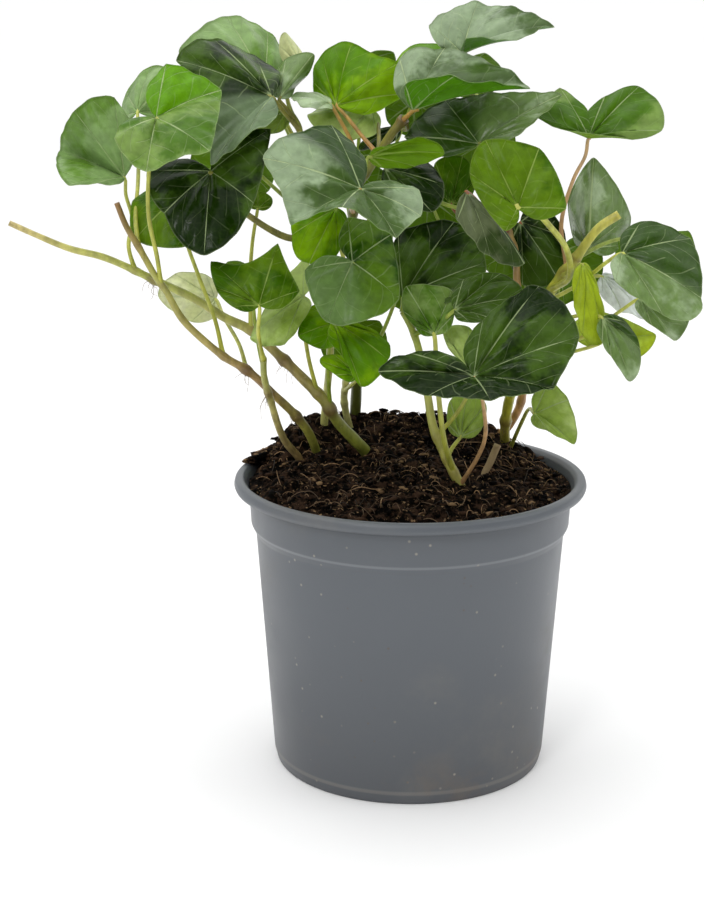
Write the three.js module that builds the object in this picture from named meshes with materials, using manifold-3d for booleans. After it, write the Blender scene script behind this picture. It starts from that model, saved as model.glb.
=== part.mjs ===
// Irish ivy in a plastic nursery pot. Millimetres, +Z up, +X to the right and +Y to the back of the
// plant. The origin is the centre of the pot's base.
import * as THREE from 'three';
import { mergeVertices } from 'three/addons/utils/BufferGeometryUtils.js';
import Module from 'manifold-3d';

const wasm = await Module();
wasm.setup();

// Pot: a moulded 13 cm nursery pot, outer radii and heights.
const RIM_RADIUS = 65;
const POT_HEIGHT = 109.6;
const BASE_RADIUS = 50;
const COLLAR_RADIUS = 58.8;
const COLLAR_HEIGHT = 92.5;
const COLLAR_STEP = 1.8;
const LIP_HEIGHT = 105.4;
const WALL = 1.4;
const FLOOR_HEIGHT = 2.5;
const HUB_RADIUS = 16;
const POT_SEGMENTS = 48;
const DRAIN_RADIUS = 4;
const DRAIN_RING_RADIUS = 36;
const DRAIN_COUNT = 8;

// Soil: heaped peat with a broad crest along the back and a mound at the back left.
const SOIL_GAP = 0.3;
const SOIL_BASE = 4.2;
const SOIL_EDGE_HEIGHT = 106.5;
const SOIL_HEAP = 8.5;
const SOIL_TILT = [-1.6, 0.8];
const SOIL_LUMP = 0.8;
const CREST = { height: 11, centre: [-4, 38], reach: [52, 16] };
const MOUND = { height: 8, centre: [-47, 26], reach: [14, 14] };

// Plant: thickness of a blade, diameter of a leaf stalk, and how deep a stem is set in the soil.
const BLADE_THICKNESS = 0.7;
const STALK_RADIUS = 0.9;
const PLANTING_DEPTH = 9;
const HOLE_GAP = 0.35;
const BLADE_ARCH = 0.05;
const LOBE_SHOULDER = 0.24;
const PLAIN_ROUNDING = 0.08;
const LONG_EDGE = 13;
const SHORTEST_EDGE = 0.05;

const GREEN = 0x3f6b2a;
const MATERIALS = {
  pot: { color: 0x5d6468, roughness: 0.45, metalness: 0 },
  soil: { color: 0x2b1e17, roughness: 1, metalness: 0 },
  leafy_stem: { color: GREEN, roughness: 0.4, metalness: 0 },
  cut_stub: { color: 0xb59a6d, roughness: 0.8, metalness: 0 },
};

// A leaf is given by the route of its stalk, by the joint where stalk and blade meet, and by where
// its main veins end, from the left basal lobe round the tip to the right basal lobe, seen from the
// upper side. rounding says how far the edge stands out between two vein ends.
const leaf = (stalk, joint, veins, rounding) => ({ stalk, joint, veins, rounding });

// A leaf on the plant's far side, which spreads its five veins about the line from joint to tip.
const farLeaf = (stalk, joint, tip) => ({ stalk, joint, veins: spreadVeins(joint, tip) });

const FAR_SIDE_LIGHT = new THREE.Vector3(0, 0.75, 0.66);
const SPREAD_ANGLES = [108, 52, 0, -52, -108];
const SPREAD_LENGTHS = [0.68, 0.86, 1, 0.86, 0.68];
const SPREAD_LIFT = [0.1, 0.06, 0, 0.06, 0.1];

function vec(p) {
  return new THREE.Vector3(p[0], p[1], p[2]);
}

function spreadVeins(joint, tip) {
  const along = vec(tip).sub(vec(joint));
  const length = along.length();
  const ahead = along.clone().normalize();
  const up = FAR_SIDE_LIGHT.clone().addScaledVector(ahead, -FAR_SIDE_LIGHT.dot(ahead)).normalize();
  const left = up.clone().cross(ahead);
  return SPREAD_ANGLES.map((degrees, i) => {
    const angle = THREE.MathUtils.degToRad(degrees);
    const reach = length * SPREAD_LENGTHS[i];
    const end = vec(joint).addScaledVector(ahead, reach * Math.cos(angle));
    end.addScaledVector(left, reach * Math.sin(angle));
    end.addScaledVector(up, length * SPREAD_LIFT[i]);
    return end.toArray();
  });
}

// Stems: the route from the soil up, the diameter at the soil and at the end, and the leaves.
const STEMS = {
  low_left_stem: {
    route: [[-41, 9, 111], [-46, 1, 121], [-48, -6, 128], [-50, -14, 139], [-52, -20, 149], [-52, -25, 158]],
    diameters: [3.0, 2.2],
    leaves: {
      d30: leaf([[-52, -25, 158], [-53, -34, 169]], [-52, -41, 180],
        [[-61, -43, 180], [-67, -39, 186], [-69, -33, 194], [-46, -31, 200], [-38, -39, 185]],
        [0.1, 0.05, -0.2, -0.03]),
      k16: farLeaf([[-52, -10, 143], [-56, 0, 160], [-58, 8, 172]], [-58, 14, 181], [-62, 22, 167]),
    },
  },
  forked_left_stem: {
    route: [
      [-35, 15, 111], [-39, 4, 126], [-50, -6, 141], [-59, -12, 151], [-67, -16, 157], [-75, -20, 165],
      [-81, -22, 172], [-86, -24, 182], [-89, -26, 187], [-95, -26, 198], [-99, -26, 205], [-102, -26, 213],
    ],
    diameters: [3.6, 2.0],
    leaves: {
      a3: leaf([[-87, -25, 185], [-88, -30, 195], [-90, -34, 210], [-89, -36, 227]], [-86, -38, 243],
        [[-84, -25, 260], [-65, -25, 251], [-66, -58, 234], [-87, -58, 227], [-98, -54, 238]],
        [0.1, 0.02, -0.08, 0.1]),
      a2: leaf([[-95, -26, 198], [-97, -16, 206], [-98, 0, 218], [-99, 12, 231]], [-100, 18, 240],
        [[-108, 29, 236], [-106, 33, 246], [-97, 36, 256], [-88, 29, 252], [-89, 28, 238]]),
      e36: leaf([[-67, -16, 158], [-70, -14, 170], [-76, -10, 185], [-81, -10, 201]], [-82, -12, 214],
        [[-76, -18, 203], [-80, -22, 197], [-97, -18, 199], [-99, -10, 211], [-92, -8, 216]]),
      e39: leaf([[-59, -12, 151], [-63, 4, 157], [-70, 20, 164]], [-74, 30, 169],
        [[-75, 26, 162], [-83, 26, 161], [-96, 30, 170], [-90, 34, 178], [-78, 34, 178]]),
    },
  },
  long_left_stem: {
    route: [
      [-16, 12, 113], [-21, 6, 121], [-27, 2, 129], [-32, -2, 138], [-41, -4, 148], [-47, -4, 154],
      [-58, -4, 164], [-68, -4, 169], [-80, -2, 176], [-92, 0, 181], [-100, 0, 185], [-112, 0, 190],
      [-124, 0, 193], [-136, 0, 198], [-145, 0, 202],
    ],
    diameters: [4.6, 2.0],
    leaves: {
      a1: leaf([[-100, 0, 185], [-102, -1, 194], [-100, -3, 204], [-102, -4, 213]], [-102, -5, 219],
        [[-109, -22, 219], [-119, -25, 219], [-127, 8, 227], [-119, -5, 242], [-105, -3, 247]],
        [0.1, 0.12, 0.07, 0.1]),
      d31: leaf([[-34, -2, 140], [-37, -10, 156], [-38, -16, 168]], [-38, -18, 179],
        [[-35, -20, 176], [-44, -30, 164], [-57, -24, 165], [-46, -12, 182], [-38, -8, 191]]),
      d32: leaf([[-30, 0, 134], [-30, -8, 149], [-29, -16, 161]], [-27, -20, 170],
        [[-24, -25, 164], [-31, -26, 162], [-40, -24, 166], [-36, -16, 175], [-30, -14, 176]]),
      e38: leaf([[-58, -4, 164], [-58, -5, 180], [-57, -5, 196]], [-55, -4, 208],
        [[-59, -4, 210], [-58, -2, 212], [-55, -1, 214], [-50, -2, 212], [-50, -4, 209]]),
    },
  },
  thick_back_stem: {
    route: [
      [-22, 40, 112], [-21, 36, 132], [-21, 28, 154], [-22, 20, 175], [-22, 10, 195], [-21, 0, 208],
      [-19, -6, 217], [-12, -10, 228], [-7, -12, 236], [-3, -14, 241],
    ],
    diameters: [4.4, 3.0],
    leaves: {
      b12: leaf([[-4, -14, 240], [-2, -17, 242]], [0, -18, 244],
        [[-5, -4, 261], [11, 0, 264], [40, -24, 252], [14, -32, 256], [-3, -26, 254]],
        [0.1, 0.1, 0.02, 0.12]),
      d27: leaf([[-21, 0, 205], [-21, -30, 213], [-19, -50, 219]], [-17, -58, 222],
        [
          [2, -52, 221], [3, -60, 214], [-5, -70, 208], [-22, -80, 220], [-39, -72, 212], [-49, -58, 232],
          [-27, -42, 241],
        ],
        [0.05, 0, 0, -0.1, -0.04, 0.15]),
      b10: leaf([[-12, -10, 228], [-18, -4, 234], [-24, 0, 241]], [-27, 2, 244],
        [[-36, 17, 251], [-33, 19, 261], [-22, 19, 265], [-5, 3, 259], [-3, 2, 248]],
        [0.1, 0.08, -0.03, 0.05]),
      a9: leaf([[-16, -8, 221], [-22, -6, 233], [-27, -5, 242]], [-29, -4, 245],
        [[-33, -15, 244], [-38, -17, 246], [-43, -2, 247], [-38, 3, 249], [-33, 3, 248]]),
      f43: leaf([[-20, -3, 211], [-18, -16, 220], [-16, -22, 226]], [-15, -25, 229],
        [[-10, -23, 225], [1, -21, 225], [11, -25, 231], [2, -29, 236], [-8, -28, 233]]),
      b11: leaf([[-3, -14, 241], [2, 4, 244], [1, 18, 250]], [-2, 24, 253],
        [[-7, 37, 256], [-1, 40, 263], [14, 40, 262], [11, 40, 258], [2, 37, 253]]),
      f41: leaf([[-12, -10, 228], [-12, 0, 234], [-13, 8, 239]], [-15, 10, 242],
        [[-13, 2, 234], [-24, 0, 232], [-38, 8, 239], [-29, 16, 244], [-19, 16, 245]]),
      f42: leaf([[-3, -14, 241], [-2, 0, 236], [-4, 10, 235]], [-5, 14, 235],
        [[-6, 10, 231], [-12, 9, 228], [-20, 12, 228], [-15, 16, 233], [-9, 17, 235]]),
      k1: farLeaf([[-22, 20, 175], [-23, 30, 196], [-25, 36, 212]], [-25, 38, 221], [-29, 44, 203]),
      k2: farLeaf([[-22, 22, 169], [-9, 46, 184], [-8, 47, 204]], [-8, 46, 213], [-4, 56, 195]),
      k14: farLeaf([[-22, 10, 195], [-20, 24, 226], [-19, 34, 248]], [-19, 36, 257], [-20, 46, 242]),
      k17: farLeaf([[-22, 20, 175], [-16, 28, 200], [-6, 30, 228]], [0, 28, 243], [1, 33, 229]),
    },
  },
  upper_left_stem: {
    route: [
      [-34, 34, 110], [-32, 22, 132], [-30, 12, 154], [-31, 4, 174], [-34, 0, 189], [-38, 0, 205],
      [-40, 0, 221], [-40, 0, 235], [-43, 0, 241],
    ],
    diameters: [3.2, 2.0],
    leaves: {
      a4: leaf([[-41, 0, 236], [-45, -6, 242]], [-49, -12, 248],
        [[-56, -33, 237], [-69, -29, 226], [-84, 2, 260], [-71, 6, 267], [-56, 9, 260]],
        [0.08, -0.15, 0.08, 0.1]),
      a6: leaf([[-39, 0, 229], [-46, 10, 238], [-51, 14, 247]], [-54, 16, 250],
        [[-74, 2, 251], [-84, 16, 263], [-69, 34, 274], [-54, 38, 268], [-46, 34, 257]],
        [0.1, 0.05, 0.06, 0.1]),
      a8: leaf([[-42, 0, 239], [-45, -4, 244]], [-47, -6, 247],
        [[-50, 5, 253], [-45, 6, 260], [-35, 2, 262], [-37, 6, 255], [-42, 5, 250]]),
      a7: leaf([[-43, 0, 240], [-45, 8, 248], [-43, 10, 253]], [-40, 10, 257],
        [[-47, 15, 259], [-48, 15, 264], [-46, 13, 269], [-42, 17, 264], [-39, 15, 260]]),
      e35: leaf([[-36, 0, 196], [-45, -4, 198], [-60, -14, 209], [-66, -22, 216]], [-69, -28, 224],
        [[-49, -18, 238], [-54, -34, 214], [-70, -46, 198], [-84, -38, 211], [-91, -28, 224]],
        [0.05, 0.15, 0.12, 0.1]),
      e40: leaf([[-41, 0, 237], [-43, 4, 239]], [-45, 6, 242],
        [[-45, 2, 236], [-49, 1, 234], [-57, 4, 235], [-55, 8, 241], [-50, 9, 244]]),
      k6: farLeaf([[-40, 0, 221], [-46, 16, 235], [-58, 34, 248]], [-67, 42, 252], [-75, 50, 236]),
      k7: farLeaf([[-38, 0, 205], [-48, 10, 212], [-59, 18, 220]], [-65, 20, 223], [-70, 28, 203]),
    },
  },
  centre_stem: {
    route: [[-22, 32, 111], [-25, 18, 132], [-24, 4, 143], [-23, -8, 158], [-21, -16, 172], [-19, -22, 182]],
    diameters: [3.0, 2.0],
    leaves: {
      d29: leaf([[-19, -22, 182], [-19, -36, 190]], [-20, -46, 196],
        [[-22, -38, 210], [-7, -38, 204], [-4, -54, 185], [-28, -60, 178], [-36, -50, 194]],
        [0.12, 0.06, 0.2, 0.1]),
      d33: leaf([[-24, 0, 147], [-20, -20, 158], [-21, -33, 168]], [-27, -38, 174],
        [[-18, -35, 173], [-9, -36, 168], [-8, -44, 162], [-17, -52, 154], [-23, -48, 164]]),
      d34: leaf([[-24, 8, 139], [-21, -16, 147], [-19, -30, 152]], [-19, -38, 155],
        [[-21, -40, 153], [-26, -40, 156], [-32, -38, 160], [-27, -34, 162], [-20, -34, 159]]),
      d28: leaf([[-21, -16, 172], [-23, -20, 189], [-26, -26, 204]], [-26, -30, 212],
        [[-22, -28, 206], [-26, -34, 196], [-35, -36, 194], [-41, -32, 203], [-39, -26, 214]],
        [0.1, 0.15, 0.15, 0.1]),
      k8: farLeaf([[-24, 4, 143], [-12, 10, 158], [-5, 18, 174]], [-2, 23, 182], [-1, 31, 164]),
      k11: farLeaf([[-25, 18, 132], [-24, 28, 144]], [-23, 34, 155], [-20, 40, 138]),
    },
  },
  front_stem: {
    route: [
      [18, -20, 110], [16, -20, 115], [12, -20, 123], [8, -20, 133], [6, -20, 144], [4, -20, 155],
      [1, -19, 166], [-3, -18, 174],
    ],
    diameters: [3.8, 2.2],
    leaves: {
      c26: leaf([[18, -20, 111], [24, -28, 124], [26, -36, 133], [25, -48, 146], [23, -56, 155]],
        [21, -60, 160],
        [
          [24, -48, 177], [43, -44, 188], [56, -58, 173], [47, -68, 158], [26, -76, 156], [6, -72, 156],
          [-11, -63, 162], [0, -60, 168],
        ],
        [0.12, 0.08, 0.02, 0.02, 0, 0.08, 0.1]),
      f46: leaf([[-3, -18, 174], [-3, -18, 177]], [-3, -18, 179],
        [[-5, -8, 200], [15, -4, 204], [26, -16, 191], [20, -26, 181], [6, -26, 177]]),
      f51: leaf([[13, -20, 121], [15, -17, 124]], [18, -16, 128],
        [[13, -16, 133], [14, -14, 141], [20, -14, 143], [27, -14, 140], [26, -17, 132]]),
      f48: leaf([[16, -20, 116], [12, -27, 129], [9, -31, 154]], [8, -30, 168],
        [[1, -30, 171], [-3, -28, 176], [-2, -24, 184], [14, -24, 183], [15, -28, 175]]),
      f49: leaf([[9, -20, 129], [17, -22, 139], [21, -24, 148]], [21, -24, 153],
        [[18, -24, 156], [13, -22, 162], [11, -19, 167], [20, -18, 169], [24, -21, 162]]),
      f46b: leaf([[1, -19, 166], [8, -25, 170], [12, -29, 174]], [15, -31, 177],
        [[18, -26, 187], [31, -25, 189], [39, -33, 182], [30, -39, 175], [20, -38, 174]]),
    },
  },
  right_stem: {
    route: [
      [37, 34, 105], [36, 26, 122], [37, 20, 133], [41, 10, 151], [46, 0, 170], [51, -4, 181],
      [58, -6, 191], [66, -6, 202], [73, -6, 207],
    ],
    diameters: [4.0, 3.2],
    leaves: {
      b14: leaf([[55, -5, 188], [53, -3, 203], [57, -2, 219], [61, -1, 227]], [62, 0, 233],
        [
          [68, 8, 247], [80, 8, 250], [87, -6, 236], [77, -4, 233], [49, -5, 237], [43, -6, 241],
          [52, 8, 250],
        ],
        [0.1, 0.16, 0.1, 0, 0, 0.05]),
      b16: leaf([[50, -4, 179], [55, -20, 187], [53, -32, 198], [47, -42, 207], [40, -47, 214]],
        [35, -48, 215],
        [[31, -50, 207], [19, -44, 226], [24, -44, 237], [42, -42, 234], [51, -52, 215]],
        [0.22, 0.08, 0.05, 0.12]),
      c18: leaf([[58, -6, 191], [61, -3, 193]], [63, 0, 194],
        [[59, 18, 195], [57, 22, 208], [65, 12, 225], [80, 20, 203], [77, 18, 192]]),
      c19: leaf([[55, -5, 186], [62, -16, 187], [67, -26, 193]], [72, -30, 197],
        [[79, -22, 207], [96, -24, 201], [98, -40, 183], [85, -44, 178], [69, -40, 189]],
        [0.12, 0.08, 0.2, 0.05]),
      c23: leaf([[54, -5, 184], [56, -14, 188], [58, -20, 191]], [59, -22, 192],
        [[63, -18, 188], [67, -18, 178], [67, -26, 165], [59, -30, 168], [56, -28, 182]]),
      c21: leaf([[48, -2, 174], [57, 4, 178], [65, 8, 182]], [69, 10, 182],
        [[74, 14, 182], [82, 14, 176], [87, 6, 167], [77, 4, 170], [69, 6, 175]]),
      c22: leaf([[43, 5, 160], [53, -8, 169], [62, -22, 174]], [66, -28, 174],
        [[75, -26, 172], [80, -28, 163], [76, -36, 153], [69, -36, 162], [66, -32, 166]]),
      c24: leaf([[41, 8, 154], [50, 7, 153], [60, 6, 155]], [70, 8, 158],
        [[61, 10, 158], [60, 12, 165], [71, 14, 168], [90, 12, 160], [84, 6, 153]]),
      c20: leaf([[42, 7, 156], [61, 4, 160], [75, -4, 172]], [81, -8, 177],
        [[92, -2, 179], [99, -8, 172], [93, -18, 164], [85, -16, 169], [80, -12, 173]]),
      c25: leaf([[38, 33, 108], [41, 16, 124], [43, -6, 136]], [44, -22, 138],
        [[49, -14, 148], [56, -18, 142], [58, -30, 129], [48, -30, 134], [43, -26, 135]],
        [0.1, 0.12, 0.05, 0.05]),
      k9: farLeaf([[58, -6, 191], [72, 4, 196], [84, 10, 196]], [88, 12, 192], [93, 22, 175]),
    },
  },
  middle_stem: {
    route: [
      [30, 44, 108], [38, 34, 120], [42, 28, 131], [42, 16, 153], [40, 6, 170], [38, 0, 180],
      [37, -4, 192], [34, -6, 201], [30, -8, 212], [26, -10, 223],
    ],
    diameters: [3.6, 2.2],
    leaves: {
      b15: leaf([[27, -10, 221], [25, -11, 227]], [23, -12, 232],
        [[-3, -3, 233], [11, 2, 246], [52, -8, 249], [39, -18, 238], [30, -22, 233]],
        [0.1, 0.1, 0.05, 0.1]),
      b17: leaf([[34, -6, 201], [27, -20, 208], [21, -32, 216]], [18, -40, 219],
        [[21, -32, 215], [30, -32, 202], [38, -42, 195], [26, -46, 198], [15, -44, 210]]),
      b13: leaf([[29, -9, 216], [24, 2, 229], [21, 5, 247], [18, 3, 257]], [17, 0, 262],
        [[5, 8, 272], [23, 14, 279], [49, -4, 272], [32, -11, 267], [18, -9, 268]],
        [0.12, 0.1, 0.05, 0.1]),
      f44: leaf([[36, -5, 196], [24, 4, 198], [17, 9, 204]], [14, 10, 208],
        [[8, 10, 214], [8, 12, 223], [18, 14, 225], [23, 12, 217], [21, 10, 210]]),
      f47: leaf([[38, 0, 180], [37, 6, 193], [38, 8, 199]], [39, 8, 202],
        [[48, 12, 208], [56, 11, 196], [53, 2, 182], [40, 2, 180], [34, 5, 192]]),
      f45: leaf([[32, -7, 206], [13, -8, 210], [-1, -8, 217]], [-10, -8, 223],
        [[-5, -2, 227], [5, -2, 225], [11, -10, 217], [7, -16, 209], [-4, -14, 211]]),
      k3: farLeaf([[34, -6, 201], [32, 10, 213], [29, 26, 224]], [27, 33, 228], [26, 39, 213]),
      k4: farLeaf([[42, 22, 142], [28, 30, 166], [14, 30, 190]], [6, 27, 208], [5, 33, 190]),
      k5: farLeaf([[42, 16, 153], [43, 28, 168], [43, 36, 182]], [42, 38, 188], [40, 46, 170]),
      k10: farLeaf([[42, 28, 131], [50, 33, 150], [55, 31, 172]], [55, 30, 187], [58, 37, 166]),
      k12: farLeaf([[26, -10, 223], [26, 12, 238], [21, 32, 250]], [19, 40, 253], [28, 50, 243]),
    },
  },
};

// A dried stalk that was cut off above the soil.
const STUB = { route: [[27, -6, 111], [29, -5, 115], [32, -4, 122]], diameters: [2.4, 2.8] };

function cleaned(geometry) {
  geometry.deleteAttribute('normal');
  geometry.deleteAttribute('uv');
  return mergeVertices(geometry, 1e-4);
}

function toSolid(geometry) {
  const closed = cleaned(geometry);
  return new wasm.Manifold(new wasm.Mesh({
    numProp: 3,
    vertProperties: new Float32Array(closed.attributes.position.array),
    triVerts: new Uint32Array(closed.index.array),
  }));
}

function toGeometry(solid) {
  const mesh = solid.getMesh();
  const geometry = new THREE.BufferGeometry();
  const points = new Float32Array(mesh.numVert * 3);
  for (let i = 0; i < mesh.numVert; i += 1) {
    points.set(mesh.vertProperties.subarray(i * mesh.numProp, i * mesh.numProp + 3), i * 3);
  }
  geometry.setAttribute('position', new THREE.BufferAttribute(points, 3));
  geometry.setIndex(new THREE.BufferAttribute(new Uint32Array(mesh.triVerts), 1));
  geometry.computeVertexNormals();
  return geometry;
}

// The largest piece of a solid: chips that a join leaves loose are dropped, and edges that are too
// short to see are closed up.
function largestPiece(solid) {
  const pieces = solid.asOriginal().simplify(SHORTEST_EDGE).decompose();
  pieces.sort((a, b) => b.volume() - a.volume());
  return pieces[0];
}

function indexed(points, faces) {
  const geometry = new THREE.BufferGeometry();
  geometry.setAttribute('position', new THREE.Float32BufferAttribute(points.flatMap((p) => p.toArray()), 3));
  geometry.setIndex(faces.flat());
  return geometry;
}

// A tapered round stem along a smooth curve, closed by a flat polygon at each end.
function taperedTube(route, startRadius, endRadius, sides, steps) {
  const curve = new THREE.CatmullRomCurve3(route.map(vec), false, 'centripetal');
  const frames = curve.computeFrenetFrames(steps, false);
  const points = [];
  const faces = [];
  for (let i = 0; i <= steps; i += 1) {
    const centre = curve.getPointAt(i / steps);
    const radius = startRadius + (endRadius - startRadius) * (i / steps);
    for (let j = 0; j < sides; j += 1) {
      const turn = (j / sides) * 2 * Math.PI;
      const point = centre.clone().addScaledVector(frames.normals[i], radius * Math.cos(turn));
      points.push(point.addScaledVector(frames.binormals[i], radius * Math.sin(turn)));
    }
  }
  for (let i = 0; i < steps; i += 1) {
    for (let j = 0; j < sides; j += 1) {
      const a = i * sides + j;
      const b = i * sides + ((j + 1) % sides);
      faces.push([a, b, b + sides], [a, b + sides, a + sides]);
    }
  }
  const last = steps * sides;
  for (let j = 1; j < sides - 1; j += 1) {
    faces.push([0, j + 1, j], [last, last + j, last + j + 1]);
  }
  return indexed(points, faces);
}

// The rounded side of a basal lobe, from the joint out to its vein end.
function lobeSide(vein, face, turn) {
  const sideways = face.clone().cross(vein).multiplyScalar(turn);
  return [0.35, 0.75].map((t) => {
    const stand = LOBE_SHOULDER * Math.sin(Math.PI * t ** 0.9);
    return vein.clone().multiplyScalar(t).addScaledVector(sideways, stand);
  });
}

// The edge between two vein ends: a straight line blown out, or pulled in, in its middle. A long
// stretch has two points between its ends and a short one has one.
function edgeBetween(start, end, rounding) {
  const steps = start.distanceTo(end) > LONG_EDGE ? [1 / 3, 2 / 3] : [1 / 2];
  return steps.map((t) => {
    const point = start.clone().lerp(end, t);
    return point.multiplyScalar(1 + rounding * 4 * t * (1 - t));
  });
}

// A blade: a fan from the joint to the edge, folded at its veins, arched half way out along each
// vein, and BLADE_THICKNESS thick between two faces that are split into triangles alike.
function blade({ joint, veins, rounding }) {
  const rays = veins.map((end) => vec(end).sub(vec(joint)));
  const face = new THREE.Vector3();
  for (let i = 0; i + 1 < rays.length; i += 1) {
    face.add(rays[i + 1].clone().cross(rays[i]));
  }
  face.normalize();
  const last = rays.length - 1;
  const sheet = [vec(joint)];
  const upper = [];
  const addPoint = (ray, lift) => {
    sheet.push(vec(joint).add(ray).addScaledVector(face, lift));
    return sheet.length - 1;
  };
  const middles = rays.map((ray) => addPoint(ray.clone().multiplyScalar(0.52), BLADE_ARCH * ray.length()));
  const ends = rays.map((ray) => addPoint(ray, 0));
  const fanAbout = (centre, rimPoints) => {
    for (let i = 0; i + 1 < rimPoints.length; i += 1) {
      upper.push([centre, rimPoints[i + 1], rimPoints[i]]);
    }
  };
  const border = [];
  const [low, high] = lobeSide(rays[0], face, 1).map((ray) => addPoint(ray, 0));
  fanAbout(middles[0], [0, low, high, ends[0]]);
  border.push(0, low, high, ends[0]);
  for (let i = 0; i < last; i += 1) {
    const between = edgeBetween(rays[i], rays[i + 1], rounding ? rounding[i] : PLAIN_ROUNDING);
    const edge = between.map((ray) => addPoint(ray, 0));
    const near = edge[0];
    const far = edge[edge.length - 1];
    upper.push([0, middles[i + 1], middles[i]], [middles[i], near, ends[i]]);
    upper.push([middles[i + 1], ends[i + 1], far], [middles[i], middles[i + 1], far]);
    fanAbout(middles[i], edge);
    border.push(...edge, ends[i + 1]);
  }
  const [inner, outer] = lobeSide(rays[last], face, -1).map((ray) => addPoint(ray, 0));
  fanAbout(middles[last], [ends[last], outer, inner, 0]);
  border.push(outer, inner);
  return thickened(sheet, upper, border.reverse());
}

// Gives a sheet its thickness: an upper and a lower face and a rim along its border.
function thickened(sheet, upper, border) {
  const normals = sheet.map(() => new THREE.Vector3());
  for (const [a, b, c] of upper) {
    const across = sheet[b].clone().sub(sheet[a]).cross(sheet[c].clone().sub(sheet[a]));
    for (const i of [a, b, c]) {
      normals[i].add(across);
    }
  }
  const points = [];
  for (const side of [0.5, -0.5]) {
    sheet.forEach((point, i) => {
      points.push(point.clone().addScaledVector(normals[i].clone().normalize(), side * BLADE_THICKNESS));
    });
  }
  const below = sheet.length;
  const faces = [...upper];
  for (const [a, b, c] of upper) {
    faces.push([a + below, c + below, b + below]);
  }
  border.forEach((a, i) => {
    const b = border[(i + 1) % border.length];
    faces.push([b, a, a + below], [b, a + below, b + below]);
  });
  return indexed(points, faces);
}

function nearestOn(route, point) {
  const curve = new THREE.CatmullRomCurve3(route.map(vec), false, 'centripetal');
  const samples = curve.getSpacedPoints(80);
  samples.sort((a, b) => a.distanceTo(point) - b.distanceTo(point));
  return samples[0];
}

// A stem's own route, carried on straight down into the soil.
function plantedRoute({ route }) {
  const foot = route[0];
  return [[foot[0], foot[1], foot[2] - PLANTING_DEPTH], ...route];
}

function stemTube(stem, grown, sides) {
  const steps = Math.max(4, Math.round(stem.route.length * 1.3));
  const [start, end] = stem.diameters;
  return taperedTube(plantedRoute(stem), start / 2 + grown, end / 2 + grown, sides, steps);
}

// A leaf stalk springs from the nearest point of its stem and ends inside the blade's joint.
function stalkTube(stem, { stalk, joint, veins }, grown) {
  const root = nearestOn(stem.route, vec(stalk[0]));
  const tip = veins[Math.floor(veins.length / 2)];
  const inBlade = vec(joint).lerp(vec(tip), 0.05);
  const route = [root.toArray(), ...stalk.slice(1), joint, inBlade.toArray()];
  return taperedTube(route, STALK_RADIUS + grown, STALK_RADIUS * 0.8 + grown, 4, route.length);
}

function leafyStem(stem) {
  let solid = toSolid(stemTube(stem, 0, 7));
  for (const grownLeaf of Object.values(stem.leaves)) {
    solid = solid.add(toSolid(stalkTube(stem, grownLeaf, 0)));
    solid = solid.add(toSolid(blade(grownLeaf)));
  }
  return largestPiece(solid);
}

// The pot's walls as radius and height: the outer from the axis up to the lip, and the inner from
// the lip down to the axis. The pot stands on its foot ring and on a flat hub in the middle, and the
// floor between them, which has the drain holes, is raised.
function outerWall() {
  return [
    [0, 0], [HUB_RADIUS, 0], [HUB_RADIUS + 2, FLOOR_HEIGHT],
    [BASE_RADIUS - 6, FLOOR_HEIGHT], [BASE_RADIUS - 4, 0], [BASE_RADIUS, 0],
    [BASE_RADIUS + 1, 4], [COLLAR_RADIUS - COLLAR_STEP, COLLAR_HEIGHT - 3.5],
    [COLLAR_RADIUS, COLLAR_HEIGHT], [COLLAR_RADIUS + 0.7, LIP_HEIGHT], [RIM_RADIUS - 0.6, LIP_HEIGHT],
    [RIM_RADIUS, LIP_HEIGHT + 1.4], [RIM_RADIUS - 0.5, POT_HEIGHT - 0.8],
    [RIM_RADIUS - 1.6, POT_HEIGHT],
  ];
}

function innerWall() {
  return [
    [RIM_RADIUS - 3.4, POT_HEIGHT - 0.2], [RIM_RADIUS - 4.6, POT_HEIGHT - 1.6],
    [COLLAR_RADIUS - WALL + 1.5, LIP_HEIGHT - 1.4], [COLLAR_RADIUS - WALL, COLLAR_HEIGHT],
    [COLLAR_RADIUS - COLLAR_STEP - WALL, COLLAR_HEIGHT - 3.5],
    [BASE_RADIUS + 1 - WALL, FLOOR_HEIGHT + WALL + 1.2],
    [BASE_RADIUS - 1.2 - WALL, FLOOR_HEIGHT + WALL], [HUB_RADIUS + 1.3, FLOOR_HEIGHT + WALL],
    [HUB_RADIUS - 0.7, WALL], [0, WALL],
  ];
}

// The walls turned about the axis, less the drain holes in the floor.
function pot() {
  const profile = [...outerWall(), ...innerWall()].map((point) => new THREE.Vector2(...point));
  const turned = new THREE.LatheGeometry(profile, POT_SEGMENTS);
  turned.rotateX(Math.PI / 2);
  let solid = toSolid(turned);
  for (let i = 0; i < DRAIN_COUNT; i += 1) {
    const angle = (i / DRAIN_COUNT) * 2 * Math.PI;
    const drain = new THREE.CylinderGeometry(DRAIN_RADIUS, DRAIN_RADIUS, 8, 10);
    drain.rotateX(Math.PI / 2);
    drain.translate(DRAIN_RING_RADIUS * Math.cos(angle), DRAIN_RING_RADIUS * Math.sin(angle), 3);
    solid = solid.subtract(toSolid(drain));
  }
  return largestPiece(solid);
}

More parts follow.
